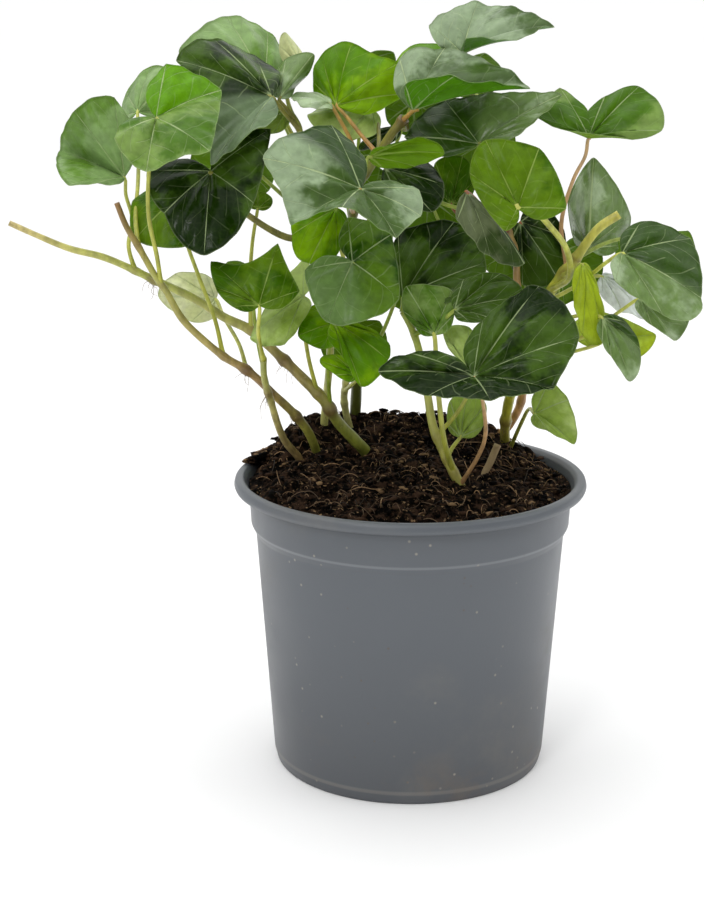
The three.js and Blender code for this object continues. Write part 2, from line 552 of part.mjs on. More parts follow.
// Height of the soil: a heap that falls to the rim, tilted, with coarse lumps, a crest and a mound.
function soilHeight(x, y) {
  const reach = Math.min(1, Math.hypot(x, y) / 60);
  const heap = SOIL_EDGE_HEIGHT + SOIL_HEAP * (1 - reach * reach);
  const tilt = (SOIL_TILT[0] * x + SOIL_TILT[1] * y) / 60;
  const lumps = Math.sin(0.31 * x + 1.3) * Math.cos(0.37 * y) + 0.7 * Math.sin(0.21 * (x - y) + 0.11 * x);
  const [across, behind] = [(x - CREST.centre[0]) / CREST.reach[0], (y - CREST.centre[1]) / CREST.reach[1]];
  const crest = CREST.height * Math.exp(-(across ** 4) - behind ** 2);
  const [aside, back] = [(x - MOUND.centre[0]) / MOUND.reach[0], (y - MOUND.centre[1]) / MOUND.reach[1]];
  const mound = MOUND.height * Math.exp(-(aside ** 2) - back ** 2);
  return heap + tilt + SOIL_LUMP * lumps + (crest + mound) * (1 - reach ** 20);
}

// Radius of the pot's inner wall at a height.
function innerRadius(height) {
  const wall = innerWall();
  const above = wall.findIndex((point) => point[1] <= height);
  if (above <= 0) {
    return wall[above < 0 ? wall.length - 1 : 0][0];
  }
  const [upperRadius, upperHeight] = wall[above - 1];
  const [lowerRadius, lowerHeight] = wall[above];
  const share = (height - lowerHeight) / (upperHeight - lowerHeight);
  return lowerRadius + (upperRadius - lowerRadius) * share;
}

function soil() {
  const rings = [12, 24, 34, 43, 50, 55];
  const levels = [LIP_HEIGHT - 1.4, COLLAR_HEIGHT, COLLAR_HEIGHT - 3.5, FLOOR_HEIGHT + WALL + 1.2 + SOIL_GAP];
  const segments = 36;
  const points = [new THREE.Vector3(0, 0, soilHeight(0, 0))];
  const around = (place) => {
    for (let j = 0; j < segments; j += 1) {
      const angle = (j / segments) * 2 * Math.PI;
      points.push(place(Math.cos(angle), Math.sin(angle)));
    }
  };
  for (const radius of rings) {
    around((c, s) => new THREE.Vector3(radius * c, radius * s, soilHeight(radius * c, radius * s)));
  }
  around((c, s) => {
    const height = THREE.MathUtils.clamp(soilHeight(59 * c, 59 * s), LIP_HEIGHT - 1, POT_HEIGHT - 1.8);
    const radius = innerRadius(height) - SOIL_GAP - 0.2;
    return new THREE.Vector3(radius * c, radius * s, height);
  });
  for (const height of levels) {
    const radius = innerRadius(height) - SOIL_GAP - 0.2;
    around((c, s) => new THREE.Vector3(radius * c, radius * s, height));
  }
  const hubBase = SOIL_BASE - FLOOR_HEIGHT;
  const floor = [
    [BASE_RADIUS - 1.2 - WALL - SOIL_GAP, SOIL_BASE], [HUB_RADIUS + 0.9, SOIL_BASE],
    [HUB_RADIUS - 1.1, hubBase],
  ];
  for (const [radius, height] of floor) {
    around((c, s) => new THREE.Vector3(radius * c, radius * s, height));
  }
  points.push(new THREE.Vector3(0, 0, hubBase));
  const bottom = points.length - 1;
  const bands = rings.length + 1 + levels.length + floor.length;
  const faces = [];
  for (let j = 0; j < segments; j += 1) {
    const next = (j + 1) % segments;
    faces.push([0, 1 + j, 1 + next]);
    for (let i = 0; i + 1 < bands; i += 1) {
      const a = 1 + i * segments + j;
      const b = 1 + i * segments + next;
      faces.push([a, a + segments, b + segments], [a, b + segments, b]);
    }
    const last = 1 + (bands - 1) * segments;
    faces.push([bottom, last + next, last + j]);
  }
  let solid = toSolid(indexed(points, faces));
  for (const stem of [...Object.values(STEMS), STUB]) {
    solid = solid.subtract(toSolid(stemTube(stem, HOLE_GAP, 7)));
  }
  for (const [stem, name] of [[STEMS.front_stem, 'c26'], [STEMS.right_stem, 'c25']]) {
    solid = solid.subtract(toSolid(stalkTube(stem, stem.leaves[name], HOLE_GAP)));
  }
  return largestPiece(solid);
}

function piece(name, solid, look) {
  const mesh = new THREE.Mesh(toGeometry(solid), new THREE.MeshStandardMaterial(look));
  mesh.name = name;
  return mesh;
}

const plant = new THREE.Group();
plant.name = 'potted_ivy';
plant.add(piece('pot', pot(), MATERIALS.pot));
plant.add(piece('soil', soil(), MATERIALS.soil));
for (const [name, stem] of Object.entries(STEMS)) {
  plant.add(piece(name, leafyStem(stem), MATERIALS.leafy_stem));
}
plant.add(piece('cut_stub', toSolid(stemTube(STUB, 0, 7)), MATERIALS.cut_stub));

export default plant;
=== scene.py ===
import math

import bpy
import numpy as np
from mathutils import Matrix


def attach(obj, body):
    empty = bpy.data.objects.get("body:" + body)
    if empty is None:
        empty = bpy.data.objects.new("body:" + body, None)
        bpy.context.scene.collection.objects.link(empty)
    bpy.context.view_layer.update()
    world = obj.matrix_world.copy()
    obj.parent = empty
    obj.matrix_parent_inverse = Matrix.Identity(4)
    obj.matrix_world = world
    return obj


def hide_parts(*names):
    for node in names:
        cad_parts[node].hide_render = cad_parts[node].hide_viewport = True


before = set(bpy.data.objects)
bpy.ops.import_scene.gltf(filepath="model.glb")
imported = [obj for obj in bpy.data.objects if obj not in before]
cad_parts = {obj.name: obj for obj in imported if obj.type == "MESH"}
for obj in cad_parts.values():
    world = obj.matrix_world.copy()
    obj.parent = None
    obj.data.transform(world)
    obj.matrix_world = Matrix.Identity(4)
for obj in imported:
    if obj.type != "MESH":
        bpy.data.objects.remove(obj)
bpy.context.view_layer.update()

scene = bpy.context.scene

# The camera stands in front of the plant and a little above it, looking slightly down. Nothing here
# is part of the object.
eye = bpy.data.objects.new("camera", bpy.data.cameras.new("camera"))
eye.location = (0.0, -0.699, 0.304)
eye.rotation_euler = (math.pi / 2 - 0.2593, 0.0, 0.0308)
eye.data.lens = 78.4
eye.data.sensor_width = 36.0
scene.collection.objects.link(eye)
scene.camera = eye

# A white room: soft light that is strongest overhead and behind the plant and weakest on the camera's
# side, three soft lamps, and a plain pale floor.
scene.view_settings.view_transform = "Standard"


def put(tree, kind, inputs=None, **settings):
    """Adds a shader node, sets its properties, and sets or links its inputs."""
    made = tree.nodes.new(kind)
    for key, value in settings.items():
        setattr(made, key, value)
    for key, value in (inputs or {}).items():
        if isinstance(value, bpy.types.NodeSocket):
            tree.links.new(value, made.inputs[key])
        else:
            made.inputs[key].default_value = value
    return made


def sums(tree, operation, *terms):
    """A Math node: its operation on one, two or three numbers."""
    return put(tree, "ShaderNodeMath", dict(enumerate(terms)), operation=operation).outputs[0]


def times(tree, *terms):
    """The product of two numbers."""
    return sums(tree, "MULTIPLY", *terms)


def plus(tree, *terms):
    """The sum of two numbers."""
    return sums(tree, "ADD", *terms)


def fade(tree, value, low, high, to_low=0.0, to_high=1.0):
    """A smooth step from to_low to to_high as the value goes from low to high."""
    ends = {"Value": value, "From Min": low, "From Max": high, "To Min": to_low, "To Max": to_high}
    return put(tree, "ShaderNodeMapRange", ends, interpolation_type="SMOOTHSTEP").outputs["Result"]


room = bpy.data.worlds.new("white_room")
room.use_nodes = True
sky = room.node_tree
toward = put(sky, "ShaderNodeSeparateXYZ", {0: put(sky, "ShaderNodeTexCoord").outputs["Generated"]}).outputs
behind = fade(sky, toward["Y"], -0.1, 0.9, 0.0, 0.75)
overhead = fade(sky, toward["Z"], 0.2, 0.85, 0.0, 1.15)
light = plus(sky, plus(sky, behind, overhead), 0.1)
plain = put(sky, "ShaderNodeLightPath").outputs["Is Camera Ray"]
light = put(sky, "ShaderNodeMix", {0: plain, 2: light, 3: 1.0}).outputs[0]
sky.links.new(light, sky.nodes["Background"].inputs["Strength"])
sky.nodes["Background"].inputs["Color"].default_value = (1.0, 1.0, 1.0, 1.0)
scene.world = room
for lamp_name, place, width, watts in (
    ("overhead_lamp", (-0.45, -0.1, 1.15), 0.9, 3.0),
    ("right_lamp", (0.9, -0.1, 0.7), 0.5, 1.5),
    ("front_lamp", (-0.5, -1.2, 0.9), 0.35, 4.5),
):
    glow = bpy.data.lights.new(lamp_name, "AREA")
    glow.shape = "SQUARE"
    glow.size = width
    glow.energy = watts
    lamp = bpy.data.objects.new(lamp_name, glow)
    lamp.location = place
    aim = np.array((0.0, 0.0, 0.15)) - np.array(place)
    tilt = math.acos(-aim[2] / np.linalg.norm(aim))
    lamp.rotation_euler = (tilt, 0.0, math.atan2(aim[0], -aim[1]) + math.pi)
    scene.collection.objects.link(lamp)


def surface(name, points, faces):
    """A mesh object from points in millimetres and lists of faces."""
    mesh = bpy.data.meshes.new(name)
    mesh.from_pydata((np.asarray(points) * 0.001).tolist(), [], [tuple(f) for f in faces])
    mesh.shade_smooth()
    mesh.update()
    made = bpy.data.objects.new(name, mesh)
    scene.collection.objects.link(made)
    return made


def new_material(name):
    """A material and its tree and shader; the shader is the only one in it."""
    made = bpy.data.materials.new(name)
    made.use_nodes = True
    return made, made.node_tree, made.node_tree.nodes["Principled BSDF"]


floor_paint, tree, shader = new_material("pale_floor")
shader.inputs["Base Color"].default_value = (0.9, 0.9, 0.9, 1.0)
shader.inputs["Roughness"].default_value = 0.7
FLOOR = 14000.0
corners = [(-FLOOR, -FLOOR, 0), (FLOOR, -FLOOR, 0), (FLOOR, FLOOR, 0), (-FLOOR, FLOOR, 0)]
floor = surface("floor", corners, [(0, 1, 2, 3)])
floor.data.materials.append(floor_paint)

# Pot: a round nursery pot, moulded in one piece from blue-grey plastic with a satin face. It has a
# rolled lip, a stepped collar, a foot ring and drain holes in its floor.
POT_PROFILE = [
    (0, 0), (16, 0), (18, 2.5), (44, 2.5), (46, 0), (50, 0), (51, 4), (57, 89), (58.8, 92.5),
    (59.5, 105.4), (64.4, 105.4), (65, 106.8), (64.5, 108.8), (63.4, 109.6), (61.6, 109.4),
     (60.4, 108), (58.9, 104), (57.4, 92.5),
    (55.6, 89), (49.6, 5.1), (47.4, 3.9), (17.3, 3.9), (15.3, 1.4), (0, 1.4),
]


def softened(corners, reach):
    """Rounds a line's corners: the corner is left at most reach before it and joined again as far
    after it by the curve (1-t)^2 before + 2t(1-t) corner + t^2 after."""
    line = np.array(corners, float)
    step = np.diff(line, axis=0)
    length = np.linalg.norm(step, axis=1)
    share = np.minimum(reach / length, 0.45)[:, None]
    before = line[1:-1] - (step * share)[:-1]
    after = line[1:-1] + (step * share)[1:]
    t = np.linspace(0, 1, 5)[None, :, None]
    curve = (1 - t) ** 2 * before[:, None] + 2 * t * (1 - t) * line[1:-1][:, None] + t ** 2 * after[:, None]
    return np.vstack([line[:1], curve.reshape(-1, 2), line[-1:]])


def ring_faces(rings, sides, start=0):
    """Quads between rings of points that are numbered ring after ring."""
    i, j = np.meshgrid(np.arange(rings - 1), np.arange(sides), indexing="ij")
    a = start + i * sides + j
    b = start + i * sides + (j + 1) % sides
    return np.stack([a, b, b + sides, a + sides], -1).reshape(-1, 4).tolist()


def pole_faces(pole, ring_start, sides, turned):
    """Triangles that close a ring on one point."""
    a = ring_start + np.arange(sides)
    b = ring_start + (np.arange(sides) + 1) % sides
    ends = (b, a) if turned else (a, b)
    return np.stack([np.full(sides, pole), *ends], -1).tolist()


def turned_body(name, profile, sides, spread=None):
    """A profile (radius, height) turned about the z axis: x = r cos(turn), y = r sin(turn). It
    starts and ends on the axis, so both ends are closed by one point."""
    rings = np.array(profile[1:-1], float)
    turn = np.linspace(0, 2 * np.pi, sides, endpoint=False)
    radius = rings[:, :1] * np.ones(sides)
    height = rings[:, 1:] * np.ones(sides)
    if spread is not None:
        radius, height = spread(radius, height, turn)
    grid = np.stack([radius * np.cos(turn), radius * np.sin(turn), height], -1).reshape(-1, 3)
    points = np.vstack([grid, [[0, 0, profile[0][1]], [0, 0, profile[-1][1]]]])
    count = len(rings)
    faces = ring_faces(count, sides)
    faces += pole_faces(count * sides, 0, sides, True)
    faces += pole_faces(count * sides + 1, (count - 1) * sides, sides, False)
    return surface(name, points, faces)


def out_of_true(radius, height, turn):
    """A moulding's slight unevenness: r + 0.12 sin(2 turn) + 0.05 sin(5 turn + height / 20)."""
    return radius + 0.12 * np.sin(2 * turn + 0.6) + 0.05 * np.sin(5 * turn + height / 20), height


pot = turned_body("nursery_pot", softened(POT_PROFILE, 0.55), 192, out_of_true)
DRAINS, DRAIN_SIDES, DRAIN_RADIUS, DRAIN_RING = 8, 24, 4, 36
holes = []
hole_faces = []
for number in range(DRAINS):
    angle = number * 2 * math.pi / DRAINS
    centre = DRAIN_RING * np.array((math.cos(angle), math.sin(angle)))
    turn = np.linspace(0, 2 * np.pi, DRAIN_SIDES, endpoint=False)
    ring = np.stack([centre[0] + DRAIN_RADIUS * np.cos(turn), centre[1] + DRAIN_RADIUS * np.sin(turn)], -1)
    holes += [np.c_[ring, np.full(DRAIN_SIDES, height)] for height in (-1.0, 7.0)]
    first = number * 2 * DRAIN_SIDES
    middle, last = first + DRAIN_SIDES, first + 2 * DRAIN_SIDES
    hole_faces += ring_faces(2, DRAIN_SIDES, first)
    hole_faces += [list(range(middle - 1, first - 1, -1)), list(range(middle, last))]
drill = surface("drill", np.vstack(holes), hole_faces)
cut = pot.modifiers.new("drain_holes", "BOOLEAN")
cut.operation = "DIFFERENCE"
cut.object = drill
drilled = bpy.data.meshes.new_from_object(pot.evaluated_get(bpy.context.evaluated_depsgraph_get()))
pot.modifiers.clear()
pot.data = drilled
bpy.data.objects.remove(drill)
drilled.shade_smooth()

# Dust and dried water that settle on plastic: fine pale specks and faint cloudy smears. The pot's
# plastic mixes this pattern into its own colour and roughness.


def speckle(tree, size_mm, detail=2.0, roughness=0.5, stretch=(1.0, 1.0, 1.0)):
    """Noise from 0 to 1 with features of about size_mm, fixed to the object."""
    where = put(tree, "ShaderNodeTexCoord").outputs["Object"]
    where = put(tree, "ShaderNodeMapping", {"Vector": where, "Scale": stretch}).outputs[0]
    grain = {"Vector": where, "Scale": 500.0 / size_mm, "Detail": detail, "Roughness": roughness}
    return put(tree, "ShaderNodeTexNoise", grain).outputs[0]


def new_group(name, inputs, outputs):
    """A shader node group; sockets are (name, kind) pairs, kind being Color or Float."""
    group = bpy.data.node_groups.new(name, "ShaderNodeTree")
    for side, sockets in (("INPUT", inputs), ("OUTPUT", outputs)):
        for socket, kind in sockets:
            group.interface.new_socket(socket, in_out=side, socket_type="NodeSocket" + kind)
    return group, group.nodes.new("NodeGroupInput").outputs, group.nodes.new("NodeGroupOutput").inputs


dust, given, wanted = new_group(
    "settled_dust", [("Amount", "Float")], [("Specks", "Float"), ("Smears", "Float")])
where = put(dust, "ShaderNodeTexCoord").outputs["Object"]
cells = put(dust, "ShaderNodeTexVoronoi", {"Vector": where, "Scale": 420.0, "Randomness": 1.0})
spot = fade(dust, cells.outputs["Distance"], 0.08, 0.3, 1.0, 0.0)
chosen = fade(dust, put(dust, "ShaderNodeSeparateColor", {0: cells.outputs["Color"]}).outputs[0], 0.91, 0.97)
dust.links.new(times(dust, times(dust, spot, chosen), given["Amount"]), wanted["Specks"])
cloud = fade(dust, speckle(dust, 30, 5.0, 0.65), 0.5, 0.78)
dust.links.new(times(dust, cloud, given["Amount"]), wanted["Smears"])


def srgb(red, green, blue):
    """A paint colour from its 0-255 screen values: each value / 255, raised to about 2.2."""
    share = np.array((red, green, blue)) / 255.0
    return (*np.where(share < 0.04, share / 12.92, ((share + 0.055) / 1.055) ** 2.4).tolist(), 1.0)


def mixed(tree, share, first, second):
    """The first colour going over to the second by a share from 0 to 1."""
    return put(tree, "ShaderNodeMix", {0: share, 6: first, 7: second}, data_type="RGBA").outputs[2]


def bump(tree, shader, height, depth_mm):
    """Lets a height from 0 to 1 stand depth_mm high on the surface."""
    relief = put(tree, "ShaderNodeBump", {"Height": height, "Distance": depth_mm * 0.001, "Strength": 1.0})
    tree.links.new(relief.outputs[0], shader.inputs["Normal"])


pot_plastic, tree, shader = new_material("satin_grey_plastic")
spots = put(tree, "ShaderNodeGroup", {}, node_tree=dust)
spots.inputs["Amount"].default_value = 1.0
place = put(tree, "ShaderNodeTexCoord").outputs["Object"]
height = put(tree, "ShaderNodeSeparateXYZ", {0: place}).outputs["Z"]
body = mixed(tree, speckle(tree, 45, 3.0), srgb(84, 88, 93), srgb(97, 102, 108))
# Painted shade: the plastic is drawn darker towards the bottom, up to half way to a darker grey at the
# floor.
body = mixed(tree, fade(tree, height, 0.0, 0.08, 0.5, 0.0), body, srgb(66, 67, 70))
body = mixed(tree, times(tree, spots.outputs["Smears"], 0.35), body, srgb(124, 120, 112))
# Thin lines painted round the pot: a pale painted highlight along the collar ridge at 91.8 mm, a pale warm
# line round the foot at 4.5 mm, and a dark painted shadow just under the lip at 104.7 mm.
for line_height, half_width, share, colour in (
    (0.0918, 0.0005, 0.3, srgb(150, 154, 158)), (0.0045, 0.0007, 0.35, srgb(132, 128, 120)),
    (0.1047, 0.0009, 0.6, srgb(52, 56, 60)),
):
    apart = sums(tree, "ABSOLUTE", sums(tree, "SUBTRACT", height, line_height))
    body = mixed(tree, fade(tree, apart, half_width * 0.5, half_width * 1.6, share, 0.0), body, colour)
blotches = fade(tree, speckle(tree, 9, 5.0, 0.7), 0.5, 0.7)
low_dirt = times(tree, fade(tree, height, 0.0, 0.03, 1.0, 0.0), blotches)
body = mixed(tree, times(tree, low_dirt, 0.3), body, srgb(112, 96, 78))
grime = mixed(tree, fade(tree, speckle(tree, 12), 0.45, 0.55), srgb(92, 76, 60), srgb(176, 168, 152))
body = mixed(tree, times(tree, spots.outputs["Specks"], 0.5), body, grime)
tree.links.new(body, shader.inputs["Base Color"])
satin = fade(tree, speckle(tree, 22, 4.0), 0.3, 0.7, 0.36, 0.5)
satin = plus(tree, satin, times(tree, spots.outputs["Smears"], 0.15))
tree.links.new(satin, shader.inputs["Roughness"])
bump(tree, shader, plus(tree, speckle(tree, 0.5, 2.0), times(tree, speckle(tree, 14), 1.5)), 0.02)
pot.data.materials.append(pot_plastic)
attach(pot, "root")
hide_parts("pot")

# Potting peat: dark, wet and crumbly, heaped above the rim at the left and pressed in by hand. It is
# one body with a lumpy top, and loose crumbs and plant fibres lie on it.
dice = np.random.default_rng(11)


def peat_height(x, y):
    """A heap that falls to the rim, tilted, with coarse lumps, a crest along the back and a mound at
    the left: 106.5 + 8.5 (1 - reach^2) + tilt + 0.8 waves + (11 e^-(across^4 + behind^2) +
    8 e^-(aside^2 + back^2)) (1 - reach^20)."""
    reach = np.minimum(1.0, np.hypot(x, y) / 60.0)
    waves = np.sin(0.31 * x + 1.3) * np.cos(0.37 * y) + 0.7 * np.sin(0.21 * (x - y) + 0.11 * x)
    crest = 11 * np.exp(-((x + 4) / 52) ** 4 - ((y - 38) / 16) ** 2)
    mound = 8 * np.exp(-((x + 47) / 14) ** 2 - ((y - 26) / 14) ** 2)
    heap = 106.5 + 8.5 * (1 - reach ** 2) + (-1.6 * x + 0.8 * y) / 60.0 + 0.8 * waves
    return heap + (crest + mound) * (1 - reach ** 20)


def crumbled(x, y, lumps):
    """Height of crumbs: over each lump (x, y, radius) the ball sqrt(radius^2 - distance^2), and the
    highest ball counts."""
    high = np.zeros(x.shape)
    for part in np.array_split(lumps, 40):
        apart = (x[:, None] - part[:, 0]) ** 2 + (y[:, None] - part[:, 1]) ** 2
        high = np.maximum(high, np.sqrt(np.maximum(0.0, part[:, 2] ** 2 - apart)).max(1))
    return high


PEAT_SIDES, LUMPS = 420, 2600
across = np.concatenate([np.linspace(0.6, 52, 100), np.linspace(52.4, 59.5, 18)])
turn = np.linspace(0, 2 * np.pi, PEAT_SIDES, endpoint=False)
top_x = (across[:, None] * np.cos(turn)).ravel()
top_y = (across[:, None] * np.sin(turn)).ravel()
size = dice.gamma(2.0, 0.4, LUMPS).clip(0.3, 3)
angle = dice.uniform(0, 2 * np.pi, LUMPS)
reach = 58 * np.sqrt(dice.uniform(0, 1, LUMPS))
lumps = np.c_[reach * np.cos(angle), reach * np.sin(angle), size]
patches = zip(np.array_split(top_x, 24), np.array_split(top_y, 24))
crumbs_high = np.concatenate([crumbled(px, py, lumps) for px, py in patches])
top_z = peat_height(top_x, top_y) - 0.9 + 0.8 * crumbs_high
from_axis = np.hypot(top_x, top_y)
settled = np.clip((from_axis - 50) / 8, 0, 1)
top_z = np.minimum(top_z - 0.8 * settled, 107.4 + 2.4 * (59.5 - from_axis))
top_z = np.maximum(top_z, 101.0 + 4.3 * np.clip((from_axis - 52) / 7.5, 0, 1))
top_points = np.c_[top_x, top_y, top_z]
side_rings = [(58.2, 103.4), (56.9, 92.4), (55.0, 88.8), (49.0, 5.6), (46.9, 4.2), (16.9, 4.2), (14.9, 1.7)]
side_points = [np.c_[r * np.cos(turn), r * np.sin(turn), np.full(PEAT_SIDES, z)] for r, z in side_rings]
rings = len(across) + len(side_rings)
points = np.vstack([top_points, *side_points, [[0, 0, top_z[:PEAT_SIDES].mean()], [0, 0, 1.7]]])
faces = [face[::-1] for face in ring_faces(rings, PEAT_SIDES)]
low_pole = rings * PEAT_SIDES + 1
faces += pole_faces(low_pole - 1, 0, PEAT_SIDES, False)
faces += pole_faces(low_pole, (rings - 1) * PEAT_SIDES, PEAT_SIDES, True)
peat = surface("potting_peat", points, faces)

peat_skin, tree, shader = new_material("damp_peat")
fine = speckle(tree, 1.6, 5.0, 0.7)
body = mixed(tree, fade(tree, fine, 0.45, 0.62), srgb(3, 2, 1), srgb(56, 41, 31))
body = mixed(tree, fade(tree, speckle(tree, 9, 3.0), 0.45, 0.75, 0.0, 0.5), body, srgb(7, 5, 4))
body = mixed(tree, fade(tree, speckle(tree, 0.9, 3.0, 0.6), 0.6, 0.7, 0.0, 0.8), body, srgb(150, 122, 92))
tree.links.new(body, shader.inputs["Base Color"])
shader.inputs["Roughness"].default_value = 0.9
shader.inputs["Specular IOR Level"].default_value = 0.04
bump(tree, shader, plus(tree, fine, speckle(tree, 0.6, 3.0)), 0.6)
peat.data.materials.append(peat_skin)
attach(peat, "root")
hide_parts("soil")


# Loose crumbs of peat and bark, up to a few millimetres across, that lie on the heap. Some are
# spilled on the lip at the back left.
GOLD = (1 + math.sqrt(5)) / 2
ball = np.array([
    (-1, GOLD, 0), (1, GOLD, 0), (-1, -GOLD, 0), (1, -GOLD, 0), (0, -1, GOLD), (0, 1, GOLD),
    (0, -1, -GOLD), (0, 1, -GOLD), (GOLD, 0, -1), (GOLD, 0, 1), (-GOLD, 0, -1), (-GOLD, 0, 1),
]) / 1.9
ball_faces = np.array([(0, 11, 5), (0, 5, 1), (0, 1, 7), (0, 7, 10), (0, 10, 11), (1, 5, 9), (5, 11, 4),
                       (11, 10, 2), (10, 7, 6), (7, 1, 8), (3, 9, 4), (3, 4, 2), (3, 2, 6), (3, 6, 8),
                       (3, 8, 9), (4, 9, 5), (2, 4, 11), (6, 2, 10), (8, 6, 7), (9, 8, 1)])


def crumb_heap(name, x, y, z, size):
    """Ragged twenty-sided lumps: each corner is moved in or out by up to a half, and the lump is
    drawn out by up to 2.2 along a level heading and squashed to 0.6 of its height."""
    count = len(x)
    grains = ball * dice.uniform(0.45, 1.4, (count, 12, 1)) * size[:, None, None] * (1, 1, 0.6)
    heading = dice.uniform(0, 2 * np.pi, count)
    heading = np.c_[np.cos(heading), np.sin(heading), np.zeros(count)][:, None, :]
    drawn = dice.uniform(0, 1.2, (count, 1, 1)) * (grains * heading).sum(-1, keepdims=True)
    grains = grains + drawn * heading + np.c_[x, y, z + 0.2 * size][:, None, :]
    faces = ball_faces + 12 * np.arange(count)[:, None, None]
    return surface(name, grains.reshape(-1, 3), faces.reshape(-1, 3).tolist())


count, spilled_count = 1500, 420
angle = dice.uniform(0, 2 * np.pi, count)
reach = 57 * np.sqrt(dice.uniform(0, 1, count))
x, y = reach * np.cos(angle), reach * np.sin(angle)
size = dice.gamma(2.0, 0.28, count).clip(0.25, 1.4)
z = peat_height(x, y) + 0.2 - 0.8 * np.clip((reach - 50) / 8, 0, 1)
spilled, out = dice.uniform(2.45, 2.95, spilled_count), dice.uniform(55, 63.5, spilled_count)
x, y = np.append(x, out * np.cos(spilled)), np.append(y, out * np.sin(spilled))
z = np.append(z, 109.3 + dice.uniform(0, 1, spilled_count) * (66 - out) * 0.5)
size = np.append(size, dice.uniform(0.5, 1.3, spilled_count))
crumbs = crumb_heap("loose_crumbs", x, y, z, size)
crumb_skin, tree, shader = new_material("bark_crumb")
body = mixed(tree, fade(tree, speckle(tree, 2.5, 2.0), 0.42, 0.6), srgb(5, 3, 2), srgb(58, 42, 31))
body = mixed(tree, fade(tree, speckle(tree, 3, 1.0), 0.6, 0.66, 0.0, 0.8), body, srgb(138, 112, 82))
tree.links.new(body, shader.inputs["Base Color"])
shader.inputs["Roughness"].default_value = 0.85
shader.inputs["Specular IOR Level"].default_value = 0.05
bump(tree, shader, speckle(tree, 0.8, 3.0), 0.2)
crumbs.data.materials.append(crumb_skin)
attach(crumbs, "root")
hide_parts("soil")

# Fibres in the peat: dry tan roots and sedge threads, thin and round. They lie on the heap and a few
# of them stand up out of it.


def smooth_path(points, per_span=8):
    """A centripetal Catmull-Rom curve: between two points it is the Hermite cubic whose tangents
    come from the points on either side, with gaps taken as the square root of the distance."""
    p = np.array(points, float)
    p = np.vstack([2 * p[0] - p[1], p, 2 * p[-1] - p[-2]])
    gap = np.sqrt(np.linalg.norm(np.diff(p, axis=0), axis=1)).clip(1e-4)[:, None]
    slope = np.diff(p, axis=0) / gap
    tangent = slope[:-1] + slope[1:] - (p[2:] - p[:-2]) / (gap[:-1] + gap[1:])
    a, b, span = p[1:-2, None], p[2:-1, None], gap[1:-1, None]
    leave, arrive = tangent[:-1, None] * span, tangent[1:, None] * span
    t = np.linspace(0, 1, per_span, endpoint=False)[None, :, None]
    curve = (2 * t ** 3 - 3 * t ** 2 + 1) * a + (t ** 3 - 2 * t ** 2 + t) * leave
    curve = curve + (3 * t ** 2 - 2 * t ** 3) * b + (t ** 3 - t ** 2) * arrive
    return np.vstack([curve.reshape(-1, 3), p[-2]])


def path_length(path):
    """Distance along a path from its start to each of its points."""
    return np.concatenate([[0], np.cumsum(np.linalg.norm(np.diff(path, axis=0), axis=1))])


def carried(path, along, radius, sides, ripple=0.0, seed=0):
    """Round rings carried along a path, and a closing point at each end:
    place = centre(along) + radius (side cos(turn) + front sin(turn)). side is the path's direction
    x the world axis that the path leans on least, and front is side x direction."""
    total = path_length(path)
    centre = np.stack([np.interp(along, total, path[:, k]) for k in range(3)], -1)
    ahead = np.gradient(path, axis=0)
    ahead = np.stack([np.interp(along, total, ahead[:, k]) for k in range(3)], -1)
    ahead /= np.linalg.norm(ahead, axis=1)[:, None]
    least = np.eye(3)[np.abs(ahead).max(0).argmin()]
    side = np.cross(ahead, least)
    side /= np.linalg.norm(side, axis=1)[:, None]
    front = np.cross(side, ahead)
    turn = np.linspace(0, 2 * np.pi, sides, endpoint=False)[None, :, None]
    wave = 1.0
    if ripple:
        shift = np.random.default_rng(seed).uniform(0, 6.3, 3)
        s = np.asarray(along)[:, None, None]
        wave = 1 + ripple * (np.sin(2 * turn + s / 5 + shift[0]) + np.sin(3 * turn - s / 3.1 + shift[1])
                             + 0.6 * np.sin(s / 1.7 + shift[2])) / 2
    around = side[:, None] * np.cos(turn) + front[:, None] * np.sin(turn)
    grid = centre[:, None] + np.asarray(radius, float)[:, None, None] * wave * around
    points = np.vstack([grid.reshape(-1, 3), centre[:1], centre[-1:]])
    count = len(centre)
    faces = [face[::-1] for face in ring_faces(count, sides)]
    faces += pole_faces(count * sides, 0, sides, False)
    faces += pole_faces(count * sides + 1, (count - 1) * sides, sides, True)
    return points, faces


def gathered(name, parts, tints=None):
    """Several closed bodies in one mesh; tints gives each one a colour, or one colour a point."""
    start = np.cumsum([0] + [len(points) for points, _ in parts])
    faces = [tuple(np.add(face, base)) for (_, some), base in zip(parts, start) for face in some]
    made = surface(name, np.vstack([points for points, _ in parts]), faces)
    if tints is not None:
        paint = made.data.attributes.new("tint", "FLOAT_COLOR", "POINT")
        spread = [np.broadcast_to(tint, (len(points), 4)) for tint, (points, _) in zip(tints, parts)]
        paint.data.foreach_set("color", np.vstack(spread).astype(np.float32).ravel())
    return made


